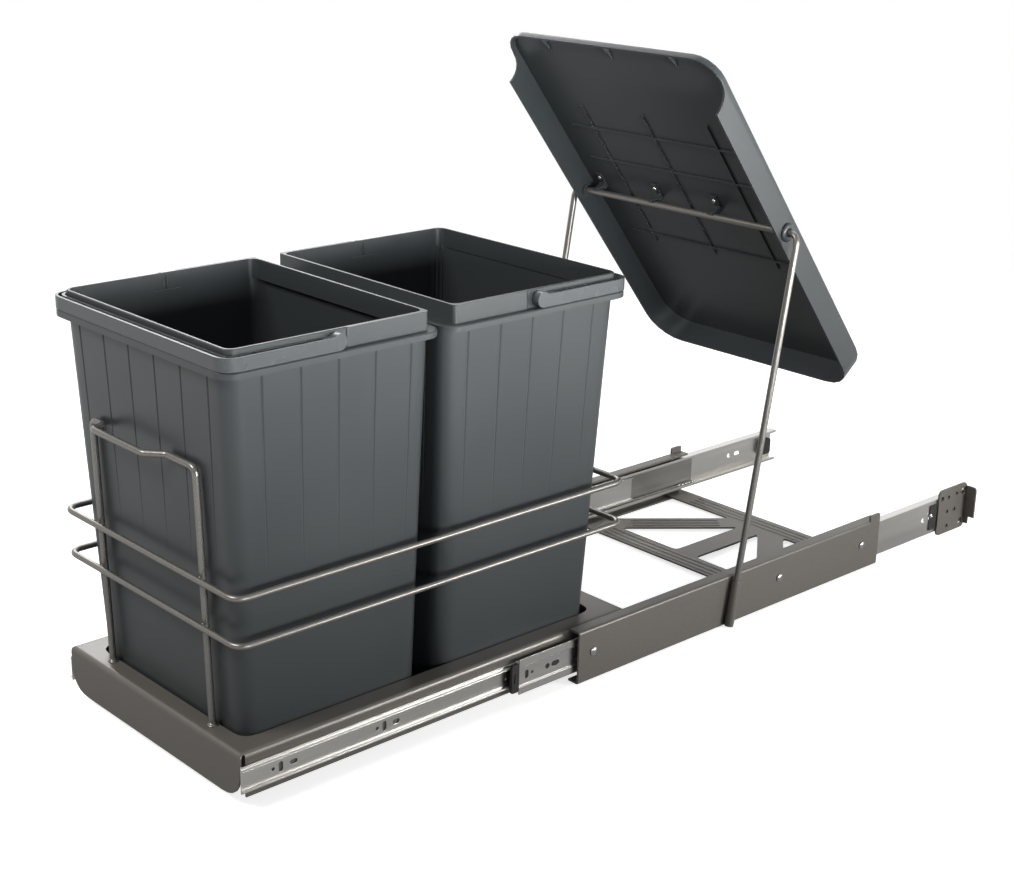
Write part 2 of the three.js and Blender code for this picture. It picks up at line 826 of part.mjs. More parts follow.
// The front hoop: two legs on the tray, joined at the top by a bar that steps out as a grip.
function frontHoop() {
  const foot = trayTop + seat;
  const top = trayTop + hoopHeight;
  const footPlace = hoopPlace(0);
  const topPlace = hoopPlace(hoopHeight);
  const reach = topPlace - hoopReach;
  const path = [
    place(hoopLeft, footPlace, foot),
    place(hoopLeft, topPlace, top),
    place(hoopLeft + 17, topPlace, top),
    place(gripLeft, reach, top),
    place(gripRight, reach, top),
    place(gripEnd, topPlace, top),
    place(hoopRight, topPlace, top),
    place(hoopRight, footPlace, foot),
  ];
  return wire(bend(path, 7, 4), hoopWireRadius, 10);
}

function guardLoop(height) {
  const front = hoopPlace(height) - hoopWireRadius - seat - guardWireRadius;
  const rear = trayFront + guardRear;
  const path = [
    place(-guardHalfWidth, front, trayTop + height),
    place(guardHalfWidth, front, trayTop + height),
    place(guardHalfWidth, rear, trayTop + height),
    place(-guardHalfWidth, rear, trayTop + height),
  ];
  return closedWire(bend(path, guardBend, 5, true), guardWireRadius, 10);
}

// The rear hoop stands on the tray behind the rear bin and carries the back of both loops.
function rearHoop() {
  const foot = trayTop + seat;
  const top = trayTop + Math.max(...guardHeights) + guardWireRadius + hoopWireRadius + rearHoopRise;
  const along = trayFront + guardRear - guardWireRadius - seat - hoopWireRadius;
  const path = [
    place(-rearHoopHalfWidth, along, foot),
    place(-rearHoopHalfWidth, along, top),
    place(rearHoopHalfWidth, along, top),
    place(rearHoopHalfWidth, along, foot),
  ];
  return wire(bend(path, 9, 4), hoopWireRadius, 10);
}

// ---------------------------------------------------------------- bins and handles

// A bin is drawn with its handle to the front, its flange centred and its foot at zero.
const binHalfWidth = binWidth / 2;
const binHalfLength = binLength / 2;
const pivotHeight = flangeTop + seat + handleEndRadius;
const pivotPlace = handlePivot - binHalfLength;

function wallSize(height, thickness) {
  const share = 1 - height / flangeTop;
  return {
    halfWidth: binHalfWidth - sideInset - thickness - sideDraft * share,
    front: -binHalfLength + handleSideInset + thickness + handleSideDraft * share,
    rear: binHalfLength - plainSideInset - thickness - plainSideDraft * share,
    radius: binCorner - thickness,
  };
}

function wallGrooves(height, depth) {
  const size = wallSize(height, 0);
  const spread = size.halfWidth / wallSize(flangeTop, 0).halfWidth;
  const shift = (size.front + size.rear) / 2 + grooveShiftAlong;
  return {
    across: [-2.5, -1.5, -0.5, 0.5, 1.5, 2.5].map((step) => step * groovePitchAcross * spread),
    along: [-2, -1, 0, 1, 2].map((step) => shift + step * groovePitchAlong * spread),
    width: grooveWidth,
    depth,
  };
}

function insetSize(inset, radius) {
  return {
    halfWidth: binHalfWidth - inset,
    front: -binHalfLength + inset,
    rear: binHalfLength - inset,
    radius,
  };
}

function collarSize(inset) {
  return {
    halfWidth: binHalfWidth - collarInset - inset,
    front: -binHalfLength + collarInset + inset,
    rear: binHalfLength - collarEnd - inset,
    radius: collarCorner - inset / 2,
  };
}

function bin() {
  const footRound = 3;
  const foot = wallSize(0, 0);
  const sole = {
    halfWidth: foot.halfWidth - footRound,
    front: foot.front + footRound,
    rear: foot.rear - footRound,
    radius: foot.radius - footRound,
  };
  const shell = toSolid(loft([
    ringAt(0, sole, wallGrooves(0, 0)),
    ringAt(footRound, wallSize(footRound, 0), wallGrooves(footRound, 0)),
    ringAt(grooveFoot, wallSize(grooveFoot, 0), wallGrooves(grooveFoot, 0)),
    ringAt(flangeTop - 1, wallSize(flangeTop - 1, 0), wallGrooves(flangeTop - 1, grooveDepth)),
  ]));
  const under = flangeTop - binWall;
  const rim = toSolid(loft([
    ringAt(under, collarSize(binWall)),
    ringAt(under, insetSize(binWall, flangeCorner - binWall)),
    ringAt(flangeTop - flangeHeight, insetSize(binWall, flangeCorner - binWall)),
    ringAt(flangeTop - flangeHeight, insetSize(0, flangeCorner)),
    ringAt(flangeTop - 0.8, insetSize(0, flangeCorner)),
    ringAt(flangeTop, insetSize(0.8, flangeCorner)),
    ringAt(flangeTop, collarSize(0)),
    ringAt(binHeight - 0.7, collarSize(0)),
    ringAt(binHeight, collarSize(0.7)),
    ringAt(binHeight, collarSize(binWall)),
  ], true));
  const thickCollar = toSolid(alongZ(
    roundedRectangle(
      thickCollarInset - binHalfWidth,
      binHalfWidth - thickCollarInset,
      thickCollarStart - binHalfLength,
      binHalfLength - collarEnd,
      collarCorner / 2,
    ),
    flangeTop - binWall / 2,
    binHeight,
  ));
  const hollow = toSolid(loft([
    ringAt(binWall, wallSize(binWall, binWall)),
    ringAt(under, wallSize(under, binWall)),
    ringAt(under, collarSize(binWall)),
    ringAt(binHeight + 1, collarSize(binWall)),
  ]));
  const pinHole = slotOutline(
    pivotPlace,
    pivotHeight,
    2 * (handlePinRadius + handlePinClearance),
    2 * (handlePinRadius + handlePinClearance),
  );
  const bore = toSolid(alongX(pinHole, -binHalfWidth, binHalfWidth));
  return toGeometry(cut(join(shell, rim, thickCollar), hollow, bore));
}

// One side's or the whole of a U in plan, grown in or out from the handle's outer edge.
function bailOutline(inset, corner, rear) {
  const half = binHalfWidth - handleInset - inset;
  const front = -binHalfLength + handleFrontInset + inset;
  return roundedOutline([
    [-half, rear, 0],
    [-half, front, corner],
    [half, front, corner],
    [half, rear, 0],
  ]);
}

function bailHandle() {
  const low = flangeTop + seat;
  const high = low + handleHeight;
  const outer = toSolid(alongZ(bailOutline(0, handleCorner, pivotPlace), low, high, 6));
  const inner = toSolid(alongZ(
    bailOutline(handleWidth, handleCorner - handleWidth, pivotPlace + 1), low - 1, high + 1, 6));
  const side = (handleWidth - handleGrooveWidth) / 2;
  const grooveEnd = pivotPlace - 2 * handleEndRadius;
  const grooveOuter = toSolid(alongZ(
    bailOutline(side, handleCorner - side, grooveEnd), high - handleGrooveDepth, high + 1, 6));
  const grooveInner = toSolid(alongZ(
    bailOutline(side + handleGrooveWidth, handleCorner - side - handleGrooveWidth, grooveEnd + 1),
    high - 2 * handleGrooveDepth,
    high + 2,
    6,
  ));
  const ends = [-1, 1].flatMap((way) => {
    const outerFace = way * (binHalfWidth - handleInset);
    const innerFace = outerFace - way * handleWidth;
    const pinEnd = way * (binHalfWidth - collarInset - binWall);
    const disc = slotOutline(pivotPlace, pivotHeight, 2 * handleEndRadius, 2 * handleEndRadius, 20);
    const pin = slotOutline(pivotPlace, pivotHeight, 2 * handlePinRadius, 2 * handlePinRadius);
    return [
      toSolid(alongX(disc, Math.min(outerFace, innerFace), Math.max(outerFace, innerFace))),
      toSolid(alongX(pin, Math.min(outerFace - way, pinEnd), Math.max(outerFace - way, pinEnd))),
    ];
  });
  const bow = cut(outer, inner, cut(grooveOuter, grooveInner));
  return toGeometry(join(bow, ...ends));
}

// ---------------------------------------------------------------- lid

// The lid is drawn shut and level, with the rod's axis at the origin and its front at -Y.
const lidTop = lidRodToPlate + lidWall;
const lidFoot = lidTop - lidSkirt;

function lidSize(inset) {
  return {
    halfWidth: lidHalfWidth - inset,
    front: inset - lidAhead,
    rear: lidBehind - inset,
    frontRadius: lidFrontCorner - inset,
    rearRadius: lidRearCorner - inset,
  };
}

function lid() {
  const edge = 3;
  const shell = toSolid(loft([
    ringAt(lidFoot, lidSize(0)),
    ringAt(lidTop - edge, lidSize(0)),
    ringAt(lidTop - edge * 0.3, lidSize(edge * 0.3)),
    ringAt(lidTop, lidSize(edge)),
  ]));
  const hollow = toSolid(loft([
    ringAt(lidFoot - 1, lidSize(lidWall)),
    ringAt(lidRodToPlate, lidSize(lidWall)),
  ]));
  const frontEdge = lidTop - lidFrontSkirt;
  const step = new THREE.Shape();
  step.moveTo(-lidNotchStart, lidFoot - 1);
  step.lineTo(-lidNotchStart, lidFoot);
  const middle = (lidFoot + frontEdge) / 2;
  step.bezierCurveTo(-lidNotchStart, middle, -lidNotchStart - 4, frontEdge, -lidNotchEnd, frontEdge);
  step.lineTo(-lidAhead - 1, frontEdge);
  step.lineTo(-lidAhead - 1, lidFoot - 1);
  const relief = toSolid(alongX(step, -lidHalfWidth - 1, lidHalfWidth + 1, 6));
  const ribLow = lidRodToPlate - lidRibHeight;
  const ribHigh = lidRodToPlate + lidWall / 2;
  const half = lidRibThickness / 2;
  const crossRibs = lidCrossRibs.map((ahead) => (
    toSolid(block(-lidCrossRibHalf, lidCrossRibHalf, -ahead - half, -ahead + half, ribLow, ribHigh))));
  const longRibs = lidLongRibs.map((across) => (
    toSolid(block(across - half, across + half, -lidLongRibFront, -lidLongRibRear, ribLow, ribHigh))));
  const gussets = lidLongRibs.map((across) => {
    const inFront = lidWall / 2 - lidAhead;
    const outline = new THREE.Shape([
      point(inFront, ribHigh),
      point(inFront, frontEdge),
      point(inFront + lidGusset, ribHigh),
    ]);
    return toSolid(alongX(outline, across - half, across + half));
  });
  const pivot = (radius) => slotOutline(0, 0, 2 * radius, 2 * radius, 16);
  const hubInside = lidHalfWidth - lidWall - lidHubLength;
  const hubs = [-1, 1].map((way) => {
    const faces = [way * hubInside, way * (lidHalfWidth - lidWall / 2)].sort((a, b) => a - b);
    return toSolid(alongX(pivot(lidHubRadius), faces[0], faces[1]));
  });
  const boreOutline = pivot(lidWireRadius + lidPivotClearance);
  const bore = toSolid(alongX(boreOutline, -lidHalfWidth - 1, lidHalfWidth + 1));
  const body = cut(shell, hollow, relief);
  return toGeometry(cut(join(body, ...crossRibs, ...longRibs, ...gussets, ...hubs), bore));
}

// A clip screwed under the lid that snaps over the rod from above.
function rodClip() {
  const inner = lidWireRadius + lidPivotClearance;
  const outer = inner + clipSheet;
  const top = lidRodToPlate - seat;
  const turn = Math.asin(clipGrip / inner);
  const outline = new THREE.Shape();
  outline.moveTo(-clipFoot, top);
  outline.lineTo(-clipFoot, top - clipSheet);
  outline.lineTo(-outer, top - clipSheet);
  outline.lineTo(-outer, -clipGrip);
  outline.lineTo(-inner * Math.cos(turn), -clipGrip);
  outline.absarc(0, 0, inner, Math.PI + turn, -turn, true);
  outline.lineTo(outer, -clipGrip);
  outline.lineTo(outer, top);
  return alongX(outline, -clipWidth / 2, clipWidth / 2, 6);
}

// ---------------------------------------------------------------- materials

function finish(name, color, roughness, metalness) {
  return new THREE.MeshStandardMaterial({ name, color, roughness, metalness });
}

const anthracite = () => finish('anthracite_paint', 0x5f5a55, 0.42, 0.35);
const darkWire = () => finish('coated_wire', 0x5a5550, 0.35, 0.5);
const zinc = () => finish('zinc_plated_steel', 0xb9b4ab, 0.25, 0.95);
const ballSteel = () => finish('ball_steel', 0xc8c6c2, 0.15, 1);
const binPlastic = () => finish('bin_plastic', 0x3a3f42, 0.5, 0);
const handlePlastic = () => finish('handle_plastic', 0x43484b, 0.45, 0);
const rubber = () => finish('black_rubber', 0x111111, 0.8, 0);
const screwSteel = () => finish('rivet_steel', 0xd0cec8, 0.3, 0.9);

// ---------------------------------------------------------------- assembly

const unit = new THREE.Group();
unit.name = 'pull_out_waste_bin';
const cabinetSide = new THREE.Group();
cabinetSide.position.y = -originPlace;
unit.add(cabinetSide);

function add(parent, name, geometry, material) {
  const mesh = new THREE.Mesh(geometry, material);
  mesh.name = name;
  parent.add(mesh);
  return mesh;
}

const sides = [['left', -1], ['right', 1]];

for (const [label, side] of sides) {
  add(cabinetSide, `channel_${label}`, sideChannel(side), anthracite());
  add(cabinetSide, `outer_rail_${label}`, outerRail(side), zinc());
  add(cabinetSide, `middle_rail_${label}`, middleRail(side), zinc());
  add(cabinetSide, `inner_rail_${label}`, innerRail(side), zinc());
  add(cabinetSide, `outer_ball_cage_${label}`, outerCage(side), ballSteel());
  add(cabinetSide, `inner_ball_cage_${label}`, innerCage(side), ballSteel());
  add(cabinetSide, `rail_buffer_${label}`, railBuffer(side), rubber());
  const socket = add(cabinetSide, `wire_socket_${label}`, wireSocket(), anthracite());
  socket.position.set(side * wireSide, socketPlace, socketFoot);
  socket.rotation.x = -Math.atan(wireLean);
  rivetPlaces.forEach((along, index) => {
    const pin = add(cabinetSide, `rivet_${label}_${index + 1}`, rivet(side), screwSteel());
    pin.position.set(side * channelOutside, along, rivetHeight);
  });
}
add(cabinetSide, 'floor_plate', floorPlate(), anthracite());
add(cabinetSide, 'rear_bracket_right', rearBracket(), anthracite());
add(cabinetSide, 'lid_wire', lidWire(), darkWire());

add(cabinetSide, 'tray', tray(), anthracite());
add(cabinetSide, 'bin_pan', binPan(), anthracite());
add(cabinetSide, 'front_hoop', frontHoop(), darkWire());
add(cabinetSide, 'rear_hoop', rearHoop(), darkWire());
['lower', 'upper'].forEach((label, index) => {
  add(cabinetSide, `guard_loop_${label}`, guardLoop(guardHeights[index]), darkWire());
});

['front', 'rear'].forEach((label, index) => {
  const stand = new THREE.Group();
  stand.position.set(0, trayFront - binsAhead + binHalfLength + index * binPitch, binSeat);
  stand.rotation.z = index * Math.PI;
  cabinetSide.add(stand);
  add(stand, `${label}_bin`, bin(), binPlastic());
  add(stand, `${label}_bin_handle`, bailHandle(), handlePlastic());
});

const openLid = new THREE.Group();
openLid.position.set(0, rodPlace, rodHeight);
openLid.rotation.x = -lidAngle;
cabinetSide.add(openLid);
add(openLid, 'lid', lid(), binPlastic());
clipPlaces.forEach((across, index) => {
  add(openLid, `rod_clip_${index + 1}`, rodClip(), rubber()).position.x = across;
});

export default unit;
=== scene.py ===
"""A pull-out double waste bin, drawn out of its cabinet with the lid open, on a white studio floor.

The frame is the CAD model's: +X right, -Y front, +Z up, in metres. Sizes and places of the object's
own pieces are written in millimetres, and the helpers that make the pieces turn them into metres.
"""

import json
import math

import bmesh
import bpy
from mathutils import Matrix, Vector


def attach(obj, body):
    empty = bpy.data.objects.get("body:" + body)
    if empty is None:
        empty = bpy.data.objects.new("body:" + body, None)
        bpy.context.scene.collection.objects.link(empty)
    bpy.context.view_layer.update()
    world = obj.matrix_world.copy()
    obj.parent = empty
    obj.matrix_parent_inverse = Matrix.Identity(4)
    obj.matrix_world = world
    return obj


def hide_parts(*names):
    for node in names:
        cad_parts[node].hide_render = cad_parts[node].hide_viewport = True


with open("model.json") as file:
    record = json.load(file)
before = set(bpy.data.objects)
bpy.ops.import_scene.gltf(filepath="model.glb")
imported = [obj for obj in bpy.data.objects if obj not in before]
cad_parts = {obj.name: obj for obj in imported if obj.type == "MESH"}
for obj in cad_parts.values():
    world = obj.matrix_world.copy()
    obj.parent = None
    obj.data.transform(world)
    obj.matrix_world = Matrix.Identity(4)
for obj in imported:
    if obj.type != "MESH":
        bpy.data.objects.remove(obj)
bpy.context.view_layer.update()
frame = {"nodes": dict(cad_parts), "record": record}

NODES = frame["nodes"]
SLOT_OF = {row["node"]: row["material_slot"] for row in frame["record"]["subparts"]}
BODY_OF = {name: body for body, names in frame["record"]["behaviour"]["bodies"].items() for name in names}

MM = 0.001
SIDES = (("left", -1), ("right", 1))
SEAT = 0.3              # space left between two CAD pieces that touch
SINK = 0.05             # how deep a screw's head stands in what it holds
ORIGIN_PLACE = 334.0    # from the channels' front ends back to the frame's origin


# ---------------------------------------------------------------- materials


class Nodes:
    """A node tree under construction."""

    def __init__(self, tree):
        self.tree = tree
        tree.nodes.clear()

    def feed(self, socket, source):
        """Sets a socket to a value, or links it to another node's output."""
        if isinstance(source, bpy.types.NodeSocket):
            self.tree.links.new(source, socket)
        else:
            socket.default_value = source

    def add(self, kind, inputs=None, **settings):
        node = self.tree.nodes.new(kind)
        for key, value in settings.items():
            setattr(node, key, value)
        for key, source in (inputs or {}).items():
            self.feed(node.inputs[key], source)
        return node

    def remap(self, value, low, high, start=0.0, end=1.0, **settings):
        """Maps the stretch from start to end onto the stretch from low to high."""
        node = self.add("ShaderNodeMapRange", {
            "Value": value, "From Min": start, "From Max": end, "To Min": low, "To Max": high,
        }, **settings)
        return node.outputs["Result"]

    def highest(self, *values):
        """The highest of several values."""
        top = values[0]
        for value in values[1:]:
            top = self.add("ShaderNodeMath", {0: top, 1: value}, operation="MAXIMUM").outputs[0]
        return top

    def mix(self, share, first, second):
        """The first shader where the share is 0, and the second where it is 1."""
        return self.add("ShaderNodeMixShader", {0: share, 1: first, 2: second}).outputs[0]


class Shader(Nodes):
    """A material under construction, with its surface and the place that its textures follow."""

    def __init__(self, name):
        self.material = bpy.data.materials.new(name)
        self.material.use_nodes = True
        super().__init__(self.material.node_tree)
        self.place = self.add("ShaderNodeTexCoord").outputs["Object"]
        self.surface = self.add("ShaderNodeBsdfPrincipled")
        self.output = self.add("ShaderNodeOutputMaterial", {"Surface": self.surface.outputs[0]})

    def noise(self, scale, detail, stretch=(1, 1, 1), roughness=0.5):
        mapping = self.add("ShaderNodeMapping", {"Vector": self.place, "Scale": stretch})
        texture = self.add("ShaderNodeTexNoise", {
            "Vector": mapping.outputs[0], "Scale": scale, "Detail": detail, "Roughness": roughness,
        })
        return texture.outputs["Fac"]

    def ramp(self, value, start, dark, end, light):
        """A colour that goes from dark to light as the value goes from start to end."""
        node = self.add("ShaderNodeValToRGB", {"Fac": value})
        for element, position, color in zip(node.color_ramp.elements, (start, end), (dark, light)):
            element.position = position
            element.color = (*color, 1)
        return node.outputs["Color"]

    def bump(self, value, strength, depth, under=None):
        """Relief up to a depth in millimetres, laid over the relief under it."""
        node = self.add("ShaderNodeBump", {"Height": value, "Strength": strength, "Distance": depth * MM})
        if under is not None:
            self.feed(node.inputs["Normal"], under)
        return node.outputs["Normal"]

    def finished(self, **inputs):
        """Feeds the surface's sockets, named with _ for each space, and gives the material."""
        for key, source in inputs.items():
            self.feed(self.surface.inputs[key.replace("_", " ")], source)
        return self.material


def moulded_plastic(name, dark, light, roughness, grain):
    """Injection-moulded plastic: fine spark-eroded grain, slow changes of tone and sheen."""
    shader = Shader(name)
    grit = shader.bump(shader.noise(scale=2600, detail=2), strength=grain, depth=0.12)
    return shader.finished(
        Base_Color=shader.ramp(shader.noise(scale=5, detail=3), 0.3, dark, 0.7, light),
        Roughness=shader.remap(shader.noise(scale=14, detail=4), roughness - 0.06, roughness + 0.08),
        IOR=1.48,
        Normal=shader.bump(shader.noise(scale=26, detail=1), strength=0.05, depth=0.6, under=grit),
    )


def powder_coat(name, dark, light, roughness, metallic):
    """Satin anthracite powder coat: orange-peel skin with a faint metallic fleck."""
    shader = Shader(name)
    return shader.finished(
        Base_Color=shader.ramp(shader.noise(scale=1500, detail=2), 0.38, dark, 0.66, light),
        Roughness=shader.remap(shader.noise(scale=9, detail=3), roughness - 0.05, roughness + 0.07),
        Metallic=metallic,
        Normal=shader.bump(shader.noise(scale=420, detail=2), strength=0.12, depth=0.25),
    )


def rolled_steel(name, dark, light, roughness, stretch):
    """Zinc-plated rolled steel with streaks along the rolling direction."""
    shader = Shader(name)
    streak = shader.noise(scale=60, detail=5, stretch=stretch, roughness=0.65)
    sheen = shader.noise(scale=40, detail=4, stretch=stretch)
    return shader.finished(
        Base_Color=shader.ramp(streak, 0.3, dark, 0.72, light),
        Roughness=shader.remap(sheen, roughness - 0.08, roughness + 0.12),
        Metallic=1.0,
        Normal=shader.bump(streak, strength=0.03, depth=0.1),
    )


def rubber(name, dark, light):
    """Matt rubber with a pitted skin."""
    shader = Shader(name)
    return shader.finished(
        Base_Color=shader.ramp(shader.noise(scale=300, detail=3), 0.3, dark, 0.7, light),
        Roughness=0.65,
        Normal=shader.bump(shader.noise(scale=1200, detail=2), strength=0.2, depth=0.1),
    )


MATERIALS = {
    "bin_plastic": moulded_plastic(
        "bin_plastic", dark=(0.034, 0.040, 0.043), light=(0.042, 0.048, 0.051),
        roughness=0.34, grain=0.14),
    "handle_plastic": moulded_plastic(
        "handle_plastic", dark=(0.056, 0.063, 0.067), light=(0.068, 0.075, 0.080),
        roughness=0.27, grain=0.08),
    "anthracite_paint": powder_coat(
        "anthracite_paint", dark=(0.145, 0.135, 0.122), light=(0.185, 0.173, 0.156),
        roughness=0.36, metallic=0.3),
    "coated_wire": powder_coat(
        "coated_wire", dark=(0.19, 0.18, 0.168), light=(0.26, 0.25, 0.232),
        roughness=0.33, metallic=0.7),
    "zinc_plated_steel": rolled_steel(
        "zinc_plated_steel", dark=(0.66, 0.645, 0.62), light=(0.82, 0.80, 0.77),
        roughness=0.28, stretch=(1, 0.04, 1)),
    "ball_steel": rolled_steel(
        "ball_steel", dark=(0.62, 0.61, 0.60), light=(0.80, 0.79, 0.77),
        roughness=0.12, stretch=(1, 0.2, 1)),
    # A darker copy of the ball steel: painted shade for the cages that lie between the rails. The screws
    # under the lid take it too.
    "shaded_cage_steel": rolled_steel(
        "shaded_cage_steel", dark=(0.32, 0.31, 0.295), light=(0.44, 0.43, 0.41),
        roughness=0.3, stretch=(1, 0.06, 1)),
    "rivet_steel": rolled_steel(
        "rivet_steel", dark=(0.60, 0.59, 0.57), light=(0.78, 0.77, 0.74),
        roughness=0.22, stretch=(1, 1, 1)),
    "black_rubber": rubber("black_rubber", dark=(0.006, 0.006, 0.006), light=(0.02, 0.02, 0.02)),
}


def dress(piece, slot, finish=None):
    """Gives a piece its material, from the finish if one is given and else from its slot."""
    piece.data.materials.clear()
    piece.data.materials.append(MATERIALS[finish or slot])


# ---------------------------------------------------------------- rounded edges

EDGE_ROUND = {
    "bin_plastic": 0.7,
    "handle_plastic": 1.0,
    "anthracite_paint": 0.6,
    "coated_wire": 0.0,
    "zinc_plated_steel": 0.25,
    "ball_steel": 0.0,
    "rivet_steel": 0.0,
    "black_rubber": 0.4,
}
SHARP_ANGLE = math.radians(32)
WELD_REACH = 0.01


def soften(piece, width):
    """Rounds a piece's hard edges and shades its curved sides smooth."""
    for polygon in piece.data.polygons:
        polygon.use_smooth = True
    weld = piece.modifiers.new("weld", "WELD")
    weld.merge_threshold = WELD_REACH * MM
    if width > 0:
        bevel = piece.modifiers.new("edge_round", "BEVEL")
        bevel.width = width * MM
        bevel.segments = 2
        bevel.limit_method = "ANGLE"
        bevel.angle_limit = SHARP_ANGLE
        bevel.miter_outer = "MITER_ARC"
    normals = piece.modifiers.new("weighted_normals", "WEIGHTED_NORMAL")
    normals.weight = 60
    normals.keep_sharp = True


# ---------------------------------------------------------------- curves made into meshes


def turned(start, corner, end, steps):
    """Points of the smooth turn from start to end that the corner draws out."""
    shares = [step / steps for step in range(steps + 1)]
    return [start.lerp(corner, share).lerp(corner.lerp(end, share), share) for share in shares]


def add_spline(curve, points, closed):
    """Adds a spline that follows points given in millimetres."""
    spline = curve.splines.new("POLY")
    spline.points.add(len(points) - 1)
    for spot, place in zip(spline.points, points):
        spot.co = (*(place.to_3d() * MM), 1)
    spline.use_cyclic_u = closed
    spline.use_smooth = True


def mesh_of(name, curve):
    """Makes a mesh object of a bevelled curve."""
    drawn = bpy.data.objects.new(name, curve)
    bpy.context.scene.collection.objects.link(drawn)
    bpy.context.view_layer.update()
    mesh = bpy.data.meshes.new_from_object(drawn.evaluated_get(bpy.context.evaluated_depsgraph_get()))
    bpy.data.objects.remove(drawn)
    bpy.data.curves.remove(curve)
    mesh.name = name
    piece = bpy.data.objects.new(name, mesh)
    bpy.context.scene.collection.objects.link(piece)
    return piece


# ---------------------------------------------------------------- bent wires

BEND_STEPS = 10
LONGEST_BEND = 0.45     # of the shorter straight run beside it


def bent(corners, radius, closed):
    """The points of a wire that follows straight runs and turns round each inner corner."""
    corners = [Vector(corner) for corner in corners]
    count = len(corners)
    points = [] if closed else [corners[0]]
    for index in range(count) if closed else range(1, count - 1):
        corner = corners[index]
        before = corners[index - 1] - corner
        after = corners[(index + 1) % count] - corner
        longest = LONGEST_BEND * min(before.length, after.length)
        reach = min(radius / math.tan(before.angle(after) / 2), longest)
        start = corner + before.normalized() * reach
        end = corner + after.normalized() * reach
        points += turned(start, corner, end, BEND_STEPS)
    if not closed:
        points.append(corners[-1])
    return points


def wire(node_name, corners, bend_radius, wire_radius, closed=False):
    """A smooth round wire in the place of a CAD wire."""
    curve = bpy.data.curves.new(f"{node_name}_fine", "CURVE")
    curve.dimensions = "3D"
    curve.bevel_depth = wire_radius * MM
    curve.bevel_resolution = 6
    curve.use_fill_caps = True
    add_spline(curve, bent(corners, bend_radius, closed), closed)
    piece = mesh_of(f"{node_name}_fine", curve)
    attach(piece, BODY_OF[node_name])
    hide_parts(node_name)
    dress(piece, SLOT_OF[node_name])


TRAY_TOP = 46.0
TRAY_FRONT = -666.0
HOOP_RADIUS = 2.75
HOOP_HEIGHT = 204.0     # heights of the guard's wires are above the tray
HOOP_LEFT = -73.0
HOOP_RIGHT = 68.3
HOOP_FOOT_PLACE = 11.5  # from the tray's front face
HOOP_TOP_PLACE = 4.9
HOOP_BEND = 7.0
GRIP_REACH = 12.0       # how far the front hoop's grip stands out to the front
GRIP_START = -56.0
GRIP_LEFT = -53.0
GRIP_RIGHT = 17.6
GRIP_END = 31.0
GUARD_RADIUS = 2.5
GUARD_HALF = 118.5
GUARD_LENGTH = 392.0
GUARD_REAR = TRAY_FRONT + GUARD_LENGTH
GUARD_HEIGHTS = {"guard_loop_lower": 82.4, "guard_loop_upper": 119.4}
GUARD_BEND = 12.0
REAR_HOOP_HALF = 60.0
REAR_HOOP_RISE = 5.0    # over the upper loop
REAR_HOOP_PLACE = GUARD_REAR - GUARD_RADIUS - SEAT - HOOP_RADIUS
REAR_HOOP_BEND = 9.0


def hoop_place(height):
    """How far back the front hoop's legs stand at a height over the tray."""
    lean = (HOOP_TOP_PLACE - HOOP_FOOT_PLACE) * height / HOOP_HEIGHT
    return TRAY_FRONT + HOOP_FOOT_PLACE + lean


def front_hoop():
    foot, top = TRAY_TOP + SEAT, TRAY_TOP + HOOP_HEIGHT
    low, high = hoop_place(0), hoop_place(HOOP_HEIGHT)
    grip = high - GRIP_REACH
    wire("front_hoop", [
        (HOOP_LEFT, low, foot), (HOOP_LEFT, high, top),
        (GRIP_START, high, top), (GRIP_LEFT, grip, top), (GRIP_RIGHT, grip, top), (GRIP_END, high, top),
        (HOOP_RIGHT, high, top), (HOOP_RIGHT, low, foot),
    ], HOOP_BEND, HOOP_RADIUS)


def guard_loops():
    for name, height in GUARD_HEIGHTS.items():
        front = hoop_place(height) - HOOP_RADIUS - SEAT - GUARD_RADIUS
        level = TRAY_TOP + height
        wire(name, [
            (-GUARD_HALF, front, level), (GUARD_HALF, front, level),
            (GUARD_HALF, GUARD_REAR, level), (-GUARD_HALF, GUARD_REAR, level),
        ], GUARD_BEND, GUARD_RADIUS, closed=True)


def rear_hoop():
    foot = TRAY_TOP + SEAT
    top = TRAY_TOP + max(GUARD_HEIGHTS.values()) + GUARD_RADIUS + HOOP_RADIUS + REAR_HOOP_RISE
    wire("rear_hoop", [
        (-REAR_HOOP_HALF, REAR_HOOP_PLACE, foot), (-REAR_HOOP_HALF, REAR_HOOP_PLACE, top),
        (REAR_HOOP_HALF, REAR_HOOP_PLACE, top), (REAR_HOOP_HALF, REAR_HOOP_PLACE, foot),
    ], REAR_HOOP_BEND, HOOP_RADIUS)


LID_WIRE_RADIUS = 3.0
LID_WIRE_HALF = 137.05
LID_WIRE_BEND = 10.0
LID_WIRE_FOOT = 3.0
SOCKET_PLACE = 188.0 - ORIGIN_PLACE
SOCKET_FOOT = 1.0
ROD_PLACE = 247.0 - ORIGIN_PLACE
ROD_HEIGHT = 354.5


def lid_wire():
    lean = (ROD_PLACE - SOCKET_PLACE) / (ROD_HEIGHT - SOCKET_FOOT)
    foot = (SOCKET_PLACE + (LID_WIRE_FOOT - SOCKET_FOOT) * lean, LID_WIRE_FOOT)
    wire("lid_wire", [
        (LID_WIRE_HALF, *foot), (LID_WIRE_HALF, ROD_PLACE, ROD_HEIGHT),
        (-LID_WIRE_HALF, ROD_PLACE, ROD_HEIGHT), (-LID_WIRE_HALF, *foot),
    ], LID_WIRE_BEND, LID_WIRE_RADIUS)


front_hoop()
guard_loops()
rear_hoop()
lid_wire()


# ---------------------------------------------------------------- CAD nodes

for node_name, node in NODES.items():
    slot_name = SLOT_OF[node_name]
    dress(node, slot_name)
    soften(node, EDGE_ROUND[slot_name])


# ---------------------------------------------------------------- forms of small pieces

CORNER_STEPS = 4
BEAD_ARC_STEPS = 8
BEAD_END_TURNS = (0.3, 0.8, math.pi / 2)
DOME_STEPS = 16


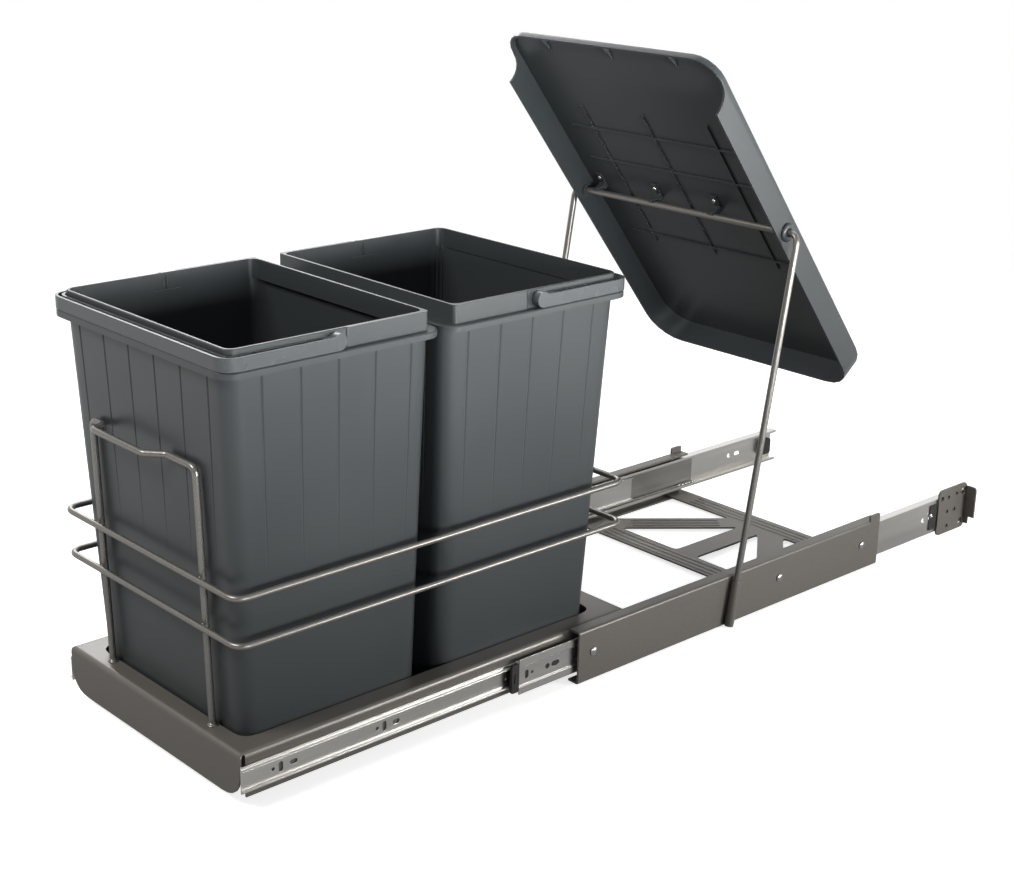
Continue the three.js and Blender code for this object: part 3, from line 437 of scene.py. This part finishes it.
def piece_of(name, shape, body, slot, round_by=0.0, stands_for=(), finish=None):
    """Makes a piece of a bmesh drawn in millimetres in the CAD model's frame."""
    bmesh.ops.recalc_face_normals(shape, faces=shape.faces)
    bmesh.ops.scale(shape, vec=(MM, MM, MM), verts=shape.verts)
    mesh = bpy.data.meshes.new(name)
    shape.to_mesh(mesh)
    shape.free()
    piece = bpy.data.objects.new(name, mesh)
    bpy.context.scene.collection.objects.link(piece)
    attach(piece, body)
    if stands_for:
        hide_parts(*stands_for)
    dress(piece, slot, finish)
    soften(piece, round_by)


def along_x(depth, y, z):
    return Vector((depth, y, z))


def along_y(depth, x, z):
    return Vector((x, depth, z))


def along_z(depth, x, y):
    return Vector((x, y, depth))


def around(middle, half):
    """The stretch of a half length to each side of a middle."""
    return middle - half, middle + half


def on_circle(radius, angle):
    return radius * math.cos(angle), radius * math.sin(angle)


def skin(shape, rings, closed):
    """Joins rings of points with faces, and caps the ends unless the rings close on themselves."""
    count = len(rings[0])
    pairs = zip(rings, rings[1:] + rings[:1]) if closed else zip(rings, rings[1:])
    for here, there in pairs:
        for index in range(count):
            after = (index + 1) % count
            shape.faces.new((here[index], there[index], there[after], here[after]))
    if not closed:
        shape.faces.new(rings[0])
        shape.faces.new(rings[-1])


def prism(shape, outline, start, end, way=along_x, move=None):
    """Adds an outline drawn out from start to end along one axis."""
    rings = [[way(depth, *spot) for spot in outline] for depth in (start, end)]
    if move is not None:
        rings = [[move @ spot for spot in ring] for ring in rings]
    skin(shape, [[shape.verts.new(spot) for spot in ring] for ring in rings], closed=False)


def lathe(shape, profile, centre, axis, steps):
    """Adds a closed ring of [radius, distance along the axis] turned round an axis."""
    turn = Vector((0, 0, 1)).rotation_difference(Vector(axis)).to_matrix()
    rings = []
    for step in range(steps):
        angle = 2 * math.pi * step / steps
        spots = [turn @ Vector((*on_circle(radius, angle), along)) for radius, along in profile]
        rings.append([shape.verts.new(Vector(centre) + spot) for spot in spots])
    skin(shape, rings, closed=True)


def ball(shape, centre, radius, flat=(1, 1, 1)):
    """Adds a finely faceted ball, flattened by the given shares."""
    place = Matrix.Translation(centre) @ Matrix.Diagonal((*flat, 1))
    bmesh.ops.create_icosphere(shape, subdivisions=3, radius=radius, matrix=place)


def dome(shape, centre, axis, radius, height):
    """Adds a pan-headed screw's head with a small recess."""
    recess = 0.25 * radius
    lathe(shape, [
        (recess, height * 0.55), (0.3 * radius, height), (0.62 * radius, height * 0.92),
        (0.88 * radius, height * 0.62), (radius, height * 0.2), (radius, 0), (recess, 0),
    ], centre, axis, DOME_STEPS)
    lathe(shape, [(0.0, 0.1), (recess, 0.1), (recess, height * 0.5), (0.0, height * 0.5)],
          centre, axis, DOME_STEPS)


def bead(shape, start, end, width, height):
    """Adds a long pressed bead with round ends, lying on a level face."""
    start, end = Vector(start), Vector(end)
    way = (end - start).normalized()
    side = Vector((-way.y, way.x, 0))
    half = width / 2
    stations = [(start + way * half * (1 - math.cos(turn)), math.sin(turn)) for turn in BEAD_END_TURNS]
    stations += [(end - way * half * (1 - math.cos(turn)), math.sin(turn))
                 for turn in reversed(BEAD_END_TURNS)]
    rings = []
    for place, share in stations:
        ring = []
        for step in range(BEAD_ARC_STEPS + 1):
            across, up = on_circle(share, math.pi * step / BEAD_ARC_STEPS)
            ring.append(shape.verts.new(place + side * half * across + Vector((0, 0, height * up))))
        rings.append(ring)
    skin(shape, rings, closed=False)


def box_outline(left, right, low, high, corner):
    """A rectangle with round corners, as points."""
    points = []
    centres = ((right - corner, high - corner), (left + corner, high - corner),
               (left + corner, low + corner), (right - corner, low + corner))
    for quarter, (x, y) in enumerate(centres):
        for step in range(CORNER_STEPS + 1):
            across, up = on_circle(corner, (quarter + step / CORNER_STEPS) * math.pi / 2)
            points.append((x + across, y + up))
    return points


def upright(shape, side, across, along, up, corner):
    """Adds an upright plate with round corners, on one side, from its stretches in X, Y and Z."""
    prism(shape, box_outline(*along, *up, corner), *sorted((side * across[0], side * across[1])))


# ---------------------------------------------------------------- floor plate

PLATE_LOW = 2.3
PLATE_SHEET = 2.0
PLATE_EDGE = 0.3        # the rounding of its edges
PLATE_HALF = 129.0
PLATE_LENGTH = 160.0
PLATE_BAR = 26.0
PLATE_FRONT = 256.0 - ORIGIN_PLACE
PLATE_REAR = PLATE_FRONT + PLATE_LENGTH
FRONT_BAR_EDGE = PLATE_FRONT + PLATE_BAR
REAR_BAR_EDGE = PLATE_REAR - PLATE_BAR
STRUT_HALF = 13.0
BRACE_FOOT = 123.8      # where the braces' outer edges meet the front bar
BRACE_TOP = 36.0        # where they meet the rear bar
BRACE_SLOPE = 1.23
BRACE_WIDTH = 26.0
BRACE_INNER_FOOT = BRACE_FOOT - BRACE_WIDTH * math.hypot(1, BRACE_SLOPE) / BRACE_SLOPE
PLATE_CORNER = 2.0
BRACE_FOOT_CORNER = 1.5
BRACE_TOP_CORNER = 7.0
WINDOW_CORNER = 6.0
WINDOW_TIP_CORNER = 8.0
ROUND_STEPS = 6
BEAD_SINK = 0.15        # how deep the beads stand in the sheet
BAR_BEAD_SHARES = (0.24, 0.5, 0.76)
BAR_BEAD_HALF = 96.0
BRACE_BEAD_SHIFTS = (-7, 0, 7)
BRACE_BEAD_HALF = 46.0
PLATE_FOOT_HALF_WIDTH = 10.0
PLATE_FOOT_HALF_LENGTH = 20.0
PLATE_FOOT_CORNER = 4.0
PLATE_FOOT_SEAT = 0.05
PLATE_FOOT_SINK = 0.1


def rounded(corners):
    """Points round an outline of [x, y, radius] corners."""
    points = []
    for index, (x, y, radius) in enumerate(corners):
        corner = Vector((x, y))
        before = Vector(corners[index - 1][:2]) - corner
        after = Vector(corners[(index + 1) % len(corners)][:2]) - corner
        start = corner + before.normalized() * radius
        end = corner + after.normalized() * radius
        points += turned(start, corner, end, ROUND_STEPS)
    return points


def plate_sheet():
    """The stamped sheet: two bars, a strut and two braces, with softly rounded windows."""
    right_half = [
        (PLATE_HALF, PLATE_FRONT, PLATE_CORNER), (PLATE_HALF, FRONT_BAR_EDGE, PLATE_CORNER),
        (BRACE_FOOT, FRONT_BAR_EDGE, BRACE_FOOT_CORNER), (BRACE_TOP, REAR_BAR_EDGE, BRACE_TOP_CORNER),
        (PLATE_HALF, REAR_BAR_EDGE, PLATE_CORNER), (PLATE_HALF, PLATE_REAR, PLATE_CORNER),
    ]
    left_half = [(-x, y, radius) for x, y, radius in reversed(right_half)]
    window_top = FRONT_BAR_EDGE + (BRACE_INNER_FOOT - STRUT_HALF) * BRACE_SLOPE
    loops = [rounded(right_half + left_half)]
    for _, side in SIDES:
        loops.append(rounded([
            (side * STRUT_HALF, FRONT_BAR_EDGE, WINDOW_CORNER),
            (side * BRACE_INNER_FOOT, FRONT_BAR_EDGE, WINDOW_TIP_CORNER),
            (side * STRUT_HALF, window_top, WINDOW_CORNER),
        ]))
    curve = bpy.data.curves.new("floor_plate_fine", "CURVE")
    curve.dimensions = "2D"
    curve.fill_mode = "BOTH"
    curve.extrude = (PLATE_SHEET / 2 - PLATE_EDGE) * MM
    curve.bevel_depth = PLATE_EDGE * MM
    curve.bevel_resolution = 2
    curve.offset = -PLATE_EDGE * MM
    for loop in loops:
        add_spline(curve, loop, closed=True)
    plate = mesh_of("floor_plate_fine", curve)
    plate.location.z = (PLATE_LOW + PLATE_SHEET / 2) * MM
    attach(plate, "cabinet_side")
    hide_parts("floor_plate")
    dress(plate, "anthracite_paint")
    soften(plate, 0.0)


def plate_beads():
    """Pressed beads along both bars and up the left brace."""
    top = PLATE_LOW + PLATE_SHEET - BEAD_SINK
    beads = bmesh.new()
    for bar in (PLATE_FRONT, REAR_BAR_EDGE):
        for share in BAR_BEAD_SHARES:
            along = bar + PLATE_BAR * share
            bead(beads, (-BAR_BEAD_HALF, along, top), (BAR_BEAD_HALF, along, top), width=4.6, height=1.2)
    way = Vector((1, BRACE_SLOPE, 0)).normalized()
    across = Vector((BRACE_SLOPE, -1, 0)).normalized()
    middle_row = (FRONT_BAR_EDGE + REAR_BAR_EDGE) / 2
    outer_edge = (BRACE_FOOT + BRACE_TOP) / 2
    inner_edge = BRACE_INNER_FOOT - (middle_row - FRONT_BAR_EDGE) / BRACE_SLOPE
    middle = Vector((-(outer_edge + inner_edge) / 2, middle_row, top))
    reach = way * BRACE_BEAD_HALF
    for shift in BRACE_BEAD_SHIFTS:
        centre = middle + across * shift
        bead(beads, centre - reach, centre + reach, width=4.2, height=1.1)
    piece_of("floor_plate_beads", beads, "cabinet_side", "anthracite_paint")


def plate_foot():
    """The pressed foot under the strut."""
    foot = bmesh.new()
    outline = box_outline(
        *around(0, PLATE_FOOT_HALF_WIDTH), *around(0, PLATE_FOOT_HALF_LENGTH), PLATE_FOOT_CORNER)
    prism(foot, outline, PLATE_FOOT_SEAT, PLATE_LOW + PLATE_FOOT_SINK, along_z)
    piece_of("floor_plate_foot", foot, "cabinet_side", "anthracite_paint", round_by=0.4)


plate_sheet()
plate_beads()
plate_foot()


# ---------------------------------------------------------------- lid fittings

LID_ANGLE = math.radians(51.5)
LID_FRAME = Matrix.Translation((0, ROD_PLACE, ROD_HEIGHT)) @ Matrix.Rotation(-LID_ANGLE, 4, "X")
LID_DOWN = Vector((0, -math.sin(LID_ANGLE), -math.cos(LID_ANGLE)))
LID_HALF = 125.0
ROD_BORE = 3.4
CLIP_PLACES = (-107.0, -35.0, 38.0)
CLIP_HALF = 3.6
CLIP_SHEET = 1.8
CLIP_TOP = 12.0         # heights and places on a clip are from the rod's axis
CLIP_FOOT = 15.0
CLIP_NECK_HALF = 3.0
CLIP_NECK_LOW = 4.2
CLIP_JAW_RADIUS = 4.9
CLIP_JAW_SHOULDER = 0.6
CLIP_JAW_START = 202.0  # degrees round the rod
CLIP_JAW_TURN = 226.0
CLIP_JAW_STEPS = 14
CLIP_SCREW_PLACE = -9.6
HUB_PROFILE = (
    (ROD_BORE, -0.4), (8.4, -0.4), (8.4, 1.2), (7.6, 2.3), (6.4, 2.9), (4.4, 2.9), (ROD_BORE, 2.4),
)
HUB_STEPS = 40


def clip_outline():
    """A clip seen along the rod: a foot under the lid's plate, a neck, and jaws round the rod."""
    under = CLIP_TOP - CLIP_SHEET
    angles = [math.radians(CLIP_JAW_START - CLIP_JAW_TURN * step / CLIP_JAW_STEPS)
              for step in range(CLIP_JAW_STEPS + 1)]
    return [
        (-CLIP_FOOT, CLIP_TOP), (-CLIP_FOOT, under), (-CLIP_NECK_HALF, under),
        (-CLIP_NECK_HALF, CLIP_NECK_LOW), (-CLIP_JAW_RADIUS, CLIP_JAW_SHOULDER),
        on_circle(CLIP_JAW_RADIUS, angles[0]),
        *(on_circle(ROD_BORE, angle) for angle in angles),
        on_circle(CLIP_JAW_RADIUS, angles[-1]),
        (CLIP_JAW_RADIUS, CLIP_JAW_SHOULDER), (CLIP_NECK_HALF, CLIP_NECK_LOW), (CLIP_NECK_HALF, CLIP_TOP),
    ]


def rod_clips():
    """Slim clips under the lid that snap over the rod, each with a screw beside the rod."""
    for index, across in enumerate(CLIP_PLACES, 1):
        name = f"rod_clip_{index}"
        clip = bmesh.new()
        prism(clip, clip_outline(), *around(across, CLIP_HALF), along_x, LID_FRAME)
        piece_of(f"{name}_fine", clip, "lid_body", "bin_plastic", round_by=0.3, stands_for=[name])
        screw = bmesh.new()
        seat = LID_FRAME @ Vector((across, CLIP_SCREW_PLACE, CLIP_TOP - CLIP_SHEET + SINK))
        dome(screw, seat, LID_DOWN, radius=2.3, height=1.7)
        piece_of(f"{name}_screw", screw, "lid_body", "rivet_steel", finish="shaded_cage_steel")


def lid_hubs():
    """The bosses outside the lid's skirts where the rod comes out."""
    for label, side in SIDES:
        hub = bmesh.new()
        lathe(hub, HUB_PROFILE, (side * LID_HALF, ROD_PLACE, ROD_HEIGHT), (side, 0, 0), HUB_STEPS)
        piece_of(f"lid_hub_{label}", hub, "lid_body", "bin_plastic")


rod_clips()
lid_hubs()


# ---------------------------------------------------------------- slide fittings

CABINET_FACE = 130.2    # the slides' cabinet sides; depths on a slide are from there
SLIDE_LEVEL = 25.5      # the slides' centre line
SLIDE_SHEET = 1.2
CAGE_ROOM = 1.1         # between the outer and the middle rail's webs
MIDDLE_RECESS = 1.2     # the middle rail's web lies this far in from its edges
MIDDLE_DEPTH = SLIDE_SHEET + CAGE_ROOM + MIDDLE_RECESS
MIDDLE_FACE = CABINET_FACE - MIDDLE_DEPTH
MIDDLE_FRONT = -398.0
BRACKET_FRONT = 184.0
BUMPER_ACROSS = (125.5, 128.2)
BUMPER_NOSE_ACROSS = (128.1, 128.9)
# Black plates behind the middle rail's slots, as painted shade seen through them.
HOLE_SHADES = ((9.5, 4, 8), (33, 5, 5), (42, 9, 5))     # place behind the rail's front end, length, height
HOLE_SHADE_GAP = 0.1
HOLE_SHADE_CORNER = 0.4      # of the shorter side
STOP_SHEET = 0.9


def bumper(label, side):
    """The black bumper in front of a middle rail, with its nose."""
    shape = bmesh.new()
    upright(shape, side, BUMPER_ACROSS, along=(MIDDLE_FRONT - 8.5, MIDDLE_FRONT - 0.2),
            up=around(SLIDE_LEVEL, 12.5), corner=1.5)
    upright(shape, side, BUMPER_NOSE_ACROSS, along=(MIDDLE_FRONT - 5.5, MIDDLE_FRONT - 1.5),
            up=around(SLIDE_LEVEL, 4), corner=1)
    piece_of(f"middle_rail_bumper_{label}", shape, "middle_rails", "black_rubber", round_by=0.3)


def hole_shade(label, side):
    """Black plates behind the slots near a middle rail's front end: painted shade seen through the slots.
    """
    shape = bmesh.new()
    for place, length, height in HOLE_SHADES:
        upright(shape, side, across=(MIDDLE_FACE - 1.1, MIDDLE_FACE - 0.5),
                along=around(MIDDLE_FRONT + place, length / 2 - HOLE_SHADE_GAP),
                up=around(SLIDE_LEVEL, height / 2 - HOLE_SHADE_GAP), corner=min(length, height) * HOLE_SHADE_CORNER)
    piece_of(f"middle_rail_hole_shade_{label}", shape, "middle_rails", "black_rubber")


def end_stop():
    """The stop on the right outer rail, in front of its bracket, with its screw."""
    stop = bmesh.new()
    upright(stop, 1, across=(CABINET_FACE + 0.02, CABINET_FACE + STOP_SHEET),
            along=(BRACKET_FRONT - 13, BRACKET_FRONT - 0.4), up=around(SLIDE_LEVEL, 13.5), corner=1)
    piece_of("outer_rail_stop", stop, "cabinet_side", "black_rubber", round_by=0.25)
    screw = bmesh.new()
    seat = (CABINET_FACE + STOP_SHEET - SINK, BRACKET_FRONT - 11, SLIDE_LEVEL + 2.5)
    dome(screw, seat, (1, 0, 0), radius=2.4, height=1.4)
    piece_of("outer_rail_stop_screw", screw, "cabinet_side", "rivet_steel")


for label, side in SIDES:
    bumper(label, side)
    hole_shade(label, side)
end_stop()


# ---------------------------------------------------------------- ball cages

OUTER_RAIL_HEIGHT = 35.3
INNER_RAIL_TIP = 5.9    # the depth at which its flanges end
OUTER_BALL = 1.75       # the balls' radii
INNER_BALL = 1.25
BALL_ROOM = 0.3         # in the height of a race, beside its balls
OUTER_RACE = OUTER_RAIL_HEIGHT / 2 - SLIDE_SHEET    # heights of the races over the centre line
MIDDLE_FLANGE = OUTER_RACE - 2 * OUTER_BALL - BALL_ROOM
INNER_RACE = MIDDLE_FLANGE - SLIDE_SHEET
INNER_FLANGE = INNER_RACE - 2 * INNER_BALL - BALL_ROOM
CAGE_SHEET = 0.5
CAGE_LENGTH = 262.0
OUTER_CAGE_FRONT = 170.0 - ORIGIN_PLACE
INNER_CAGE_FRONT = -70.0 - ORIGIN_PLACE
OUTER_CAGE_BACK = SLIDE_SHEET + SEAT
INNER_CAGE_BACK = 5.0
BALL_PITCH = 5.2
BALL_INSET = 2.6
BALLS_AT_END = 5


def cage_outline(side, upper):
    """A cage's section from its upper half, each point as [depth, height over the centre line]."""
    lower = [(depth, -height) for depth, height in reversed(upper)]
    return [(side * (CABINET_FACE - depth), SLIDE_LEVEL + height) for depth, height in upper + lower]


def ball_cages(kind, body, upper, front, ball_depth, ball_height, ball_radius):
    """The thin cages of one kind, with bright steel balls at both ends of both races."""
    rear = front + CAGE_LENGTH
    for label, side in SIDES:
        name = f"{kind}_{label}"
        strip = bmesh.new()
        prism(strip, cage_outline(side, upper), front, rear, along_y)
        # The strips take the darker steel, as painted shade between the rails.
        piece_of(f"{name}_strip", strip, body, "ball_steel", stands_for=[name], finish="shaded_cage_steel")
        balls = bmesh.new()
        across = side * (CABINET_FACE - ball_depth)
        for level in around(SLIDE_LEVEL, ball_height):
            for index in range(BALLS_AT_END):
                inset = BALL_INSET + BALL_PITCH * index
                for along in (front + inset, rear - inset):
                    ball(balls, (across, along, level), ball_radius)
        piece_of(f"{name}_balls", balls, body, "ball_steel", stands_for=[name])


def outer_cages():
    """The cages between the outer and the middle rails."""
    height = (OUTER_RACE + MIDDLE_FLANGE) / 2
    top = OUTER_RACE - SEAT
    arm = MIDDLE_DEPTH + SEAT
    depth = arm + OUTER_BALL
    tip_low, tip_high = around(height, CAGE_SHEET / 2)
    upper = [
        (OUTER_CAGE_BACK, top), (arm + CAGE_SHEET, top), (arm + CAGE_SHEET, tip_high),
        (depth + OUTER_BALL, tip_high), (depth + OUTER_BALL, tip_low), (arm, tip_low),
        (arm, top - CAGE_SHEET), (OUTER_CAGE_BACK + CAGE_SHEET, top - CAGE_SHEET),
    ]
    ball_cages("outer_ball_cage", "outer_cages", upper, OUTER_CAGE_FRONT, depth, height, OUTER_BALL)


def inner_cages():
    """The cages between the middle and the inner rails."""
    height = (INNER_RACE + INNER_FLANGE) / 2
    depth = INNER_RAIL_TIP + INNER_BALL
    tip_low, tip_high = around(height, CAGE_SHEET / 2)
    upper = [
        (INNER_CAGE_BACK, tip_high), (depth + INNER_BALL, tip_high), (depth + INNER_BALL, tip_low),
        (INNER_CAGE_BACK + CAGE_SHEET, tip_low),
    ]
    ball_cages("inner_ball_cage", "inner_cages", upper, INNER_CAGE_FRONT, depth, height, INNER_BALL)


outer_cages()
inner_cages()


# ---------------------------------------------------------------- welds and marks

WELD_FILLET = ((2.2, -0.1), (4.6, -0.1), (3.9, 0.5), (3.3, 1.3), (3.0, 2.2), (2.2, 2.2))
WELD_STEPS = 20
WELD_BLOB = 1.9
WELD_FLAT = (1, 0.5, 1)
PIVOT_PLACES = {"front": -570.1, "rear": -372.4}
COLLAR_FACE = 108.4


def welds():
    """Weld fillets at the feet of the hoops, and blobs where loops and hoops cross."""
    shape = bmesh.new()
    reach = HOOP_RADIUS + SEAT / 2
    for across in (HOOP_LEFT, HOOP_RIGHT):
        lathe(shape, WELD_FILLET, (across, hoop_place(0), TRAY_TOP), (0, 0, 1), WELD_STEPS)
        for height in GUARD_HEIGHTS.values():
            crossing = (across, hoop_place(height) - reach, TRAY_TOP + height)
            ball(shape, crossing, WELD_BLOB, WELD_FLAT)
    for across in around(0, REAR_HOOP_HALF):
        lathe(shape, WELD_FILLET, (across, REAR_HOOP_PLACE, TRAY_TOP), (0, 0, 1), WELD_STEPS)
        for height in GUARD_HEIGHTS.values():
            crossing = (across, REAR_HOOP_PLACE + reach, TRAY_TOP + height)
            ball(shape, crossing, WELD_BLOB, WELD_FLAT)
    piece_of("wire_welds", shape, "drawer", "coated_wire")


def pivot_marks():
    """Inside each collar, the ledge under the handle's pivot, and above it a black sliver as the painted
    shade of the slot.
    """
    for label, pivot in PIVOT_PLACES.items():
        ledge = bmesh.new()
        slot = bmesh.new()
        for _, side in SIDES:
            upright(ledge, side, across=(COLLAR_FACE - 1.0, COLLAR_FACE + 0.6),
                    along=around(pivot, 13), up=(329.6, 330.8), corner=0.5)
            # A black sliver in the slot: painted shade.
            upright(slot, side, across=(COLLAR_FACE - 0.25, COLLAR_FACE + 0.3),
                    along=around(pivot, 0.8), up=(331.2, 342.5), corner=0.6)
        piece_of(f"{label}_pivot_ledge", ledge, f"{label}_bin_body", "bin_plastic", round_by=0.2)
        piece_of(f"{label}_pivot_slot_shade", slot, f"{label}_bin_body", "black_rubber")


welds()
pivot_marks()


# ---------------------------------------------------------------- studio, in metres

FLOOR_HALF = 8.0
FLOOR_LEVEL = -0.0005
FLOOR_CENTRE = (0, -0.2, 0)     # under the object's middle; the fades are from there
FLOOR_TONES = ((0.80, 0.80, 0.80), (0.82, 0.82, 0.82))
FLOOR_GLOW = 0.74
SHADOW_FADE = (0.75, 1.7)
# The floor as gloss shows it: a painted shadow, dim near the object and white further away.
REFLECTION_FADE = (0.3, 1.15)
REFLECTION_GLOW = (0.27, 1.0)
FLOOR_BOUNCE = (0.25, 0.245, 0.24, 1)
WHITE = (1, 1, 1, 1)
WORLD_LIGHT = (0.93, 0.96, 1, 1)
WORLD_STRENGTH = 0.12
ROOM_BACK = (-0.66, 0.75, 0)    # the way to the room's bright end, behind the object
ROOM_FADE = (-0.3, 0.5)
ROOM_GLOW = (0.2, 1.0)


def floor_seen(shader, away):
    """What the camera sees: a pale floor that takes the shadow, and pure white further away."""
    dark, light = FLOOR_TONES
    shader.finished(
        Base_Color=shader.ramp(shader.noise(scale=3, detail=2), 0, dark, 1, light), Roughness=0.9)
    glow = shader.add("ShaderNodeEmission", {"Strength": FLOOR_GLOW})
    near = shader.add("ShaderNodeAddShader", {0: shader.surface.outputs[0], 1: glow.outputs[0]})
    white = shader.add("ShaderNodeEmission", {"Strength": 1.0})
    start, end = SHADOW_FADE
    return shader.mix(shader.remap(away, 0.0, 1.0, start, end), near.outputs[0], white.outputs[0])


def floor_reflected(shader, away):
    """What gloss shows: a painted shadow, dim close to the object, and white further away."""
    start, end = REFLECTION_FADE
    glow = shader.remap(away, *REFLECTION_GLOW, start, end, interpolation_type="SMOOTHSTEP")
    return shader.add("ShaderNodeEmission", {"Strength": glow}).outputs[0]


def studio_floor():
    """A white floor that keeps the object's soft shadow and fades to plain white round it."""
    mesh = bpy.data.meshes.new("studio_floor")
    corners = [(-1, -1), (1, -1), (1, 1), (-1, 1)]
    spots = [(x * FLOOR_HALF, y * FLOOR_HALF, FLOOR_LEVEL) for x, y in corners]
    mesh.from_pydata(spots, [], [(0, 1, 2, 3)])
    floor = bpy.data.objects.new("studio_floor", mesh)
    bpy.context.scene.collection.objects.link(floor)
    shader = Shader("studio_floor")
    distance = shader.add("ShaderNodeVectorMath", {0: shader.place, 1: FLOOR_CENTRE}, operation="DISTANCE")
    away = distance.outputs["Value"]
    rays = shader.add("ShaderNodeLightPath").outputs
    bounce = shader.add("ShaderNodeBsdfDiffuse", {"Color": FLOOR_BOUNCE})
    mirrored = shader.highest(rays["Is Glossy Ray"], rays["Is Transmission Ray"])
    unseen = shader.mix(mirrored, bounce.outputs[0], floor_reflected(shader, away))
    shown = shader.mix(rays["Is Camera Ray"], unseen, floor_seen(shader, away))
    shader.feed(shader.output.inputs["Surface"], shown)
    mesh.materials.append(shader.material)


def white_world():
    """White to the camera, white behind the object and dimmer before it to gloss, and a dim light."""
    world = bpy.data.worlds.new("studio")
    bpy.context.scene.world = world
    world.use_nodes = True
    nodes = Nodes(world.node_tree)
    direction = nodes.add("ShaderNodeTexCoord").outputs["Generated"]
    behind = nodes.add("ShaderNodeVectorMath", {0: direction, 1: ROOM_BACK}, operation="DOT_PRODUCT")
    start, end = ROOM_FADE
    room = nodes.remap(behind.outputs["Value"], *ROOM_GLOW, start, end)
    rays = nodes.add("ShaderNodeLightPath").outputs
    camera = rays["Is Camera Ray"]
    lit = nodes.add("ShaderNodeBackground", {"Color": WORLD_LIGHT, "Strength": WORLD_STRENGTH})
    seen = nodes.add("ShaderNodeBackground", {"Color": WHITE, "Strength": nodes.highest(camera, room)})
    shown = nodes.highest(camera, rays["Is Glossy Ray"], rays["Is Transmission Ray"])
    nodes.add("ShaderNodeOutputWorld", {"Surface": nodes.mix(shown, lit.outputs[0], seen.outputs[0])})


def area_light(name, place, target, size, power, color, spread=180):
    """A rectangular soft light aimed at a target, its spread in degrees."""
    data = bpy.data.lights.new(name, "AREA")
    data.shape = "RECTANGLE"
    data.size, data.size_y = size
    data.energy = power
    data.spread = math.radians(spread)
    data.color = color
    light = bpy.data.objects.new(name, data)
    bpy.context.scene.collection.objects.link(light)
    light.location = place
    light.rotation_euler = (Vector(target) - Vector(place)).to_track_quat("-Z", "Y").to_euler()


def lights():
    area_light("right_softbox", place=(1.2, -0.5, 0.42), target=(0.1, -0.42, 0.62),
               size=(0.8, 0.2), power=5.6, color=(0.98, 0.99, 1), spread=64)
    area_light("rail_softbox", place=(1.3, 0.5, 0.3), target=(0.13, 0, 0.05),
               size=(0.6, 0.3), power=4.5, color=(1, 0.99, 0.97), spread=90)
    area_light("front_softbox", place=(-0.3, -1.9, 1.7), target=(0, -0.5, 0.2),
               size=(1.1, 0.7), power=30, color=(1, 0.97, 0.93))
    area_light("top_softbox", place=(-0.5, 0.5, 2.1), target=(0, -0.3, 0.1),
               size=(1.4, 0.9), power=8, color=(0.98, 0.99, 1))
    area_light("rear_softbox", place=(-1.8, 0.3, 1.35), target=(0, -0.2, 0.2),
               size=(1.2, 0.8), power=20, color=(0.98, 0.99, 1))


studio_floor()
white_world()
lights()


# ---------------------------------------------------------------- camera

# Solved from straight edges of the object in the photograph. Places in the picture are in pixels,
# from its top left corner.
IMAGE_WIDTH = 1014
IMAGE_HEIGHT = 888
OPTICAL_CENTRE = (498.71, 433.50)
FOCAL_PIXELS = 1770.81
CAMERA_PLACE = (1.07555, -1.29983, 0.67174)
CAMERA_RIGHT = (0.67269952, 0.73965266, 0.01973056)
CAMERA_UP = (-0.24678267, 0.19914531, 0.94838782)
SENSOR = 36.0


def photo_camera():
    """The camera at the photograph's viewing angle."""
    data = bpy.data.cameras.new("photo_camera")
    data.sensor_width = SENSOR
    data.lens = FOCAL_PIXELS / IMAGE_WIDTH * SENSOR
    data.shift_x = (IMAGE_WIDTH / 2 - OPTICAL_CENTRE[0]) / IMAGE_WIDTH
    data.shift_y = (OPTICAL_CENTRE[1] - IMAGE_HEIGHT / 2) / IMAGE_WIDTH
    data.clip_start = 0.01
    data.dof.use_dof = False
    camera = bpy.data.objects.new("photo_camera", data)
    bpy.context.scene.collection.objects.link(camera)
    right = Vector(CAMERA_RIGHT).normalized()
    up = Vector(CAMERA_UP).normalized()
    turn = Matrix((right, up, right.cross(up))).transposed().to_4x4()
    camera.matrix_world = Matrix.Translation(CAMERA_PLACE) @ turn
    bpy.context.scene.camera = camera


photo_camera()
bpy.context.scene.view_settings.view_transform = "Standard"
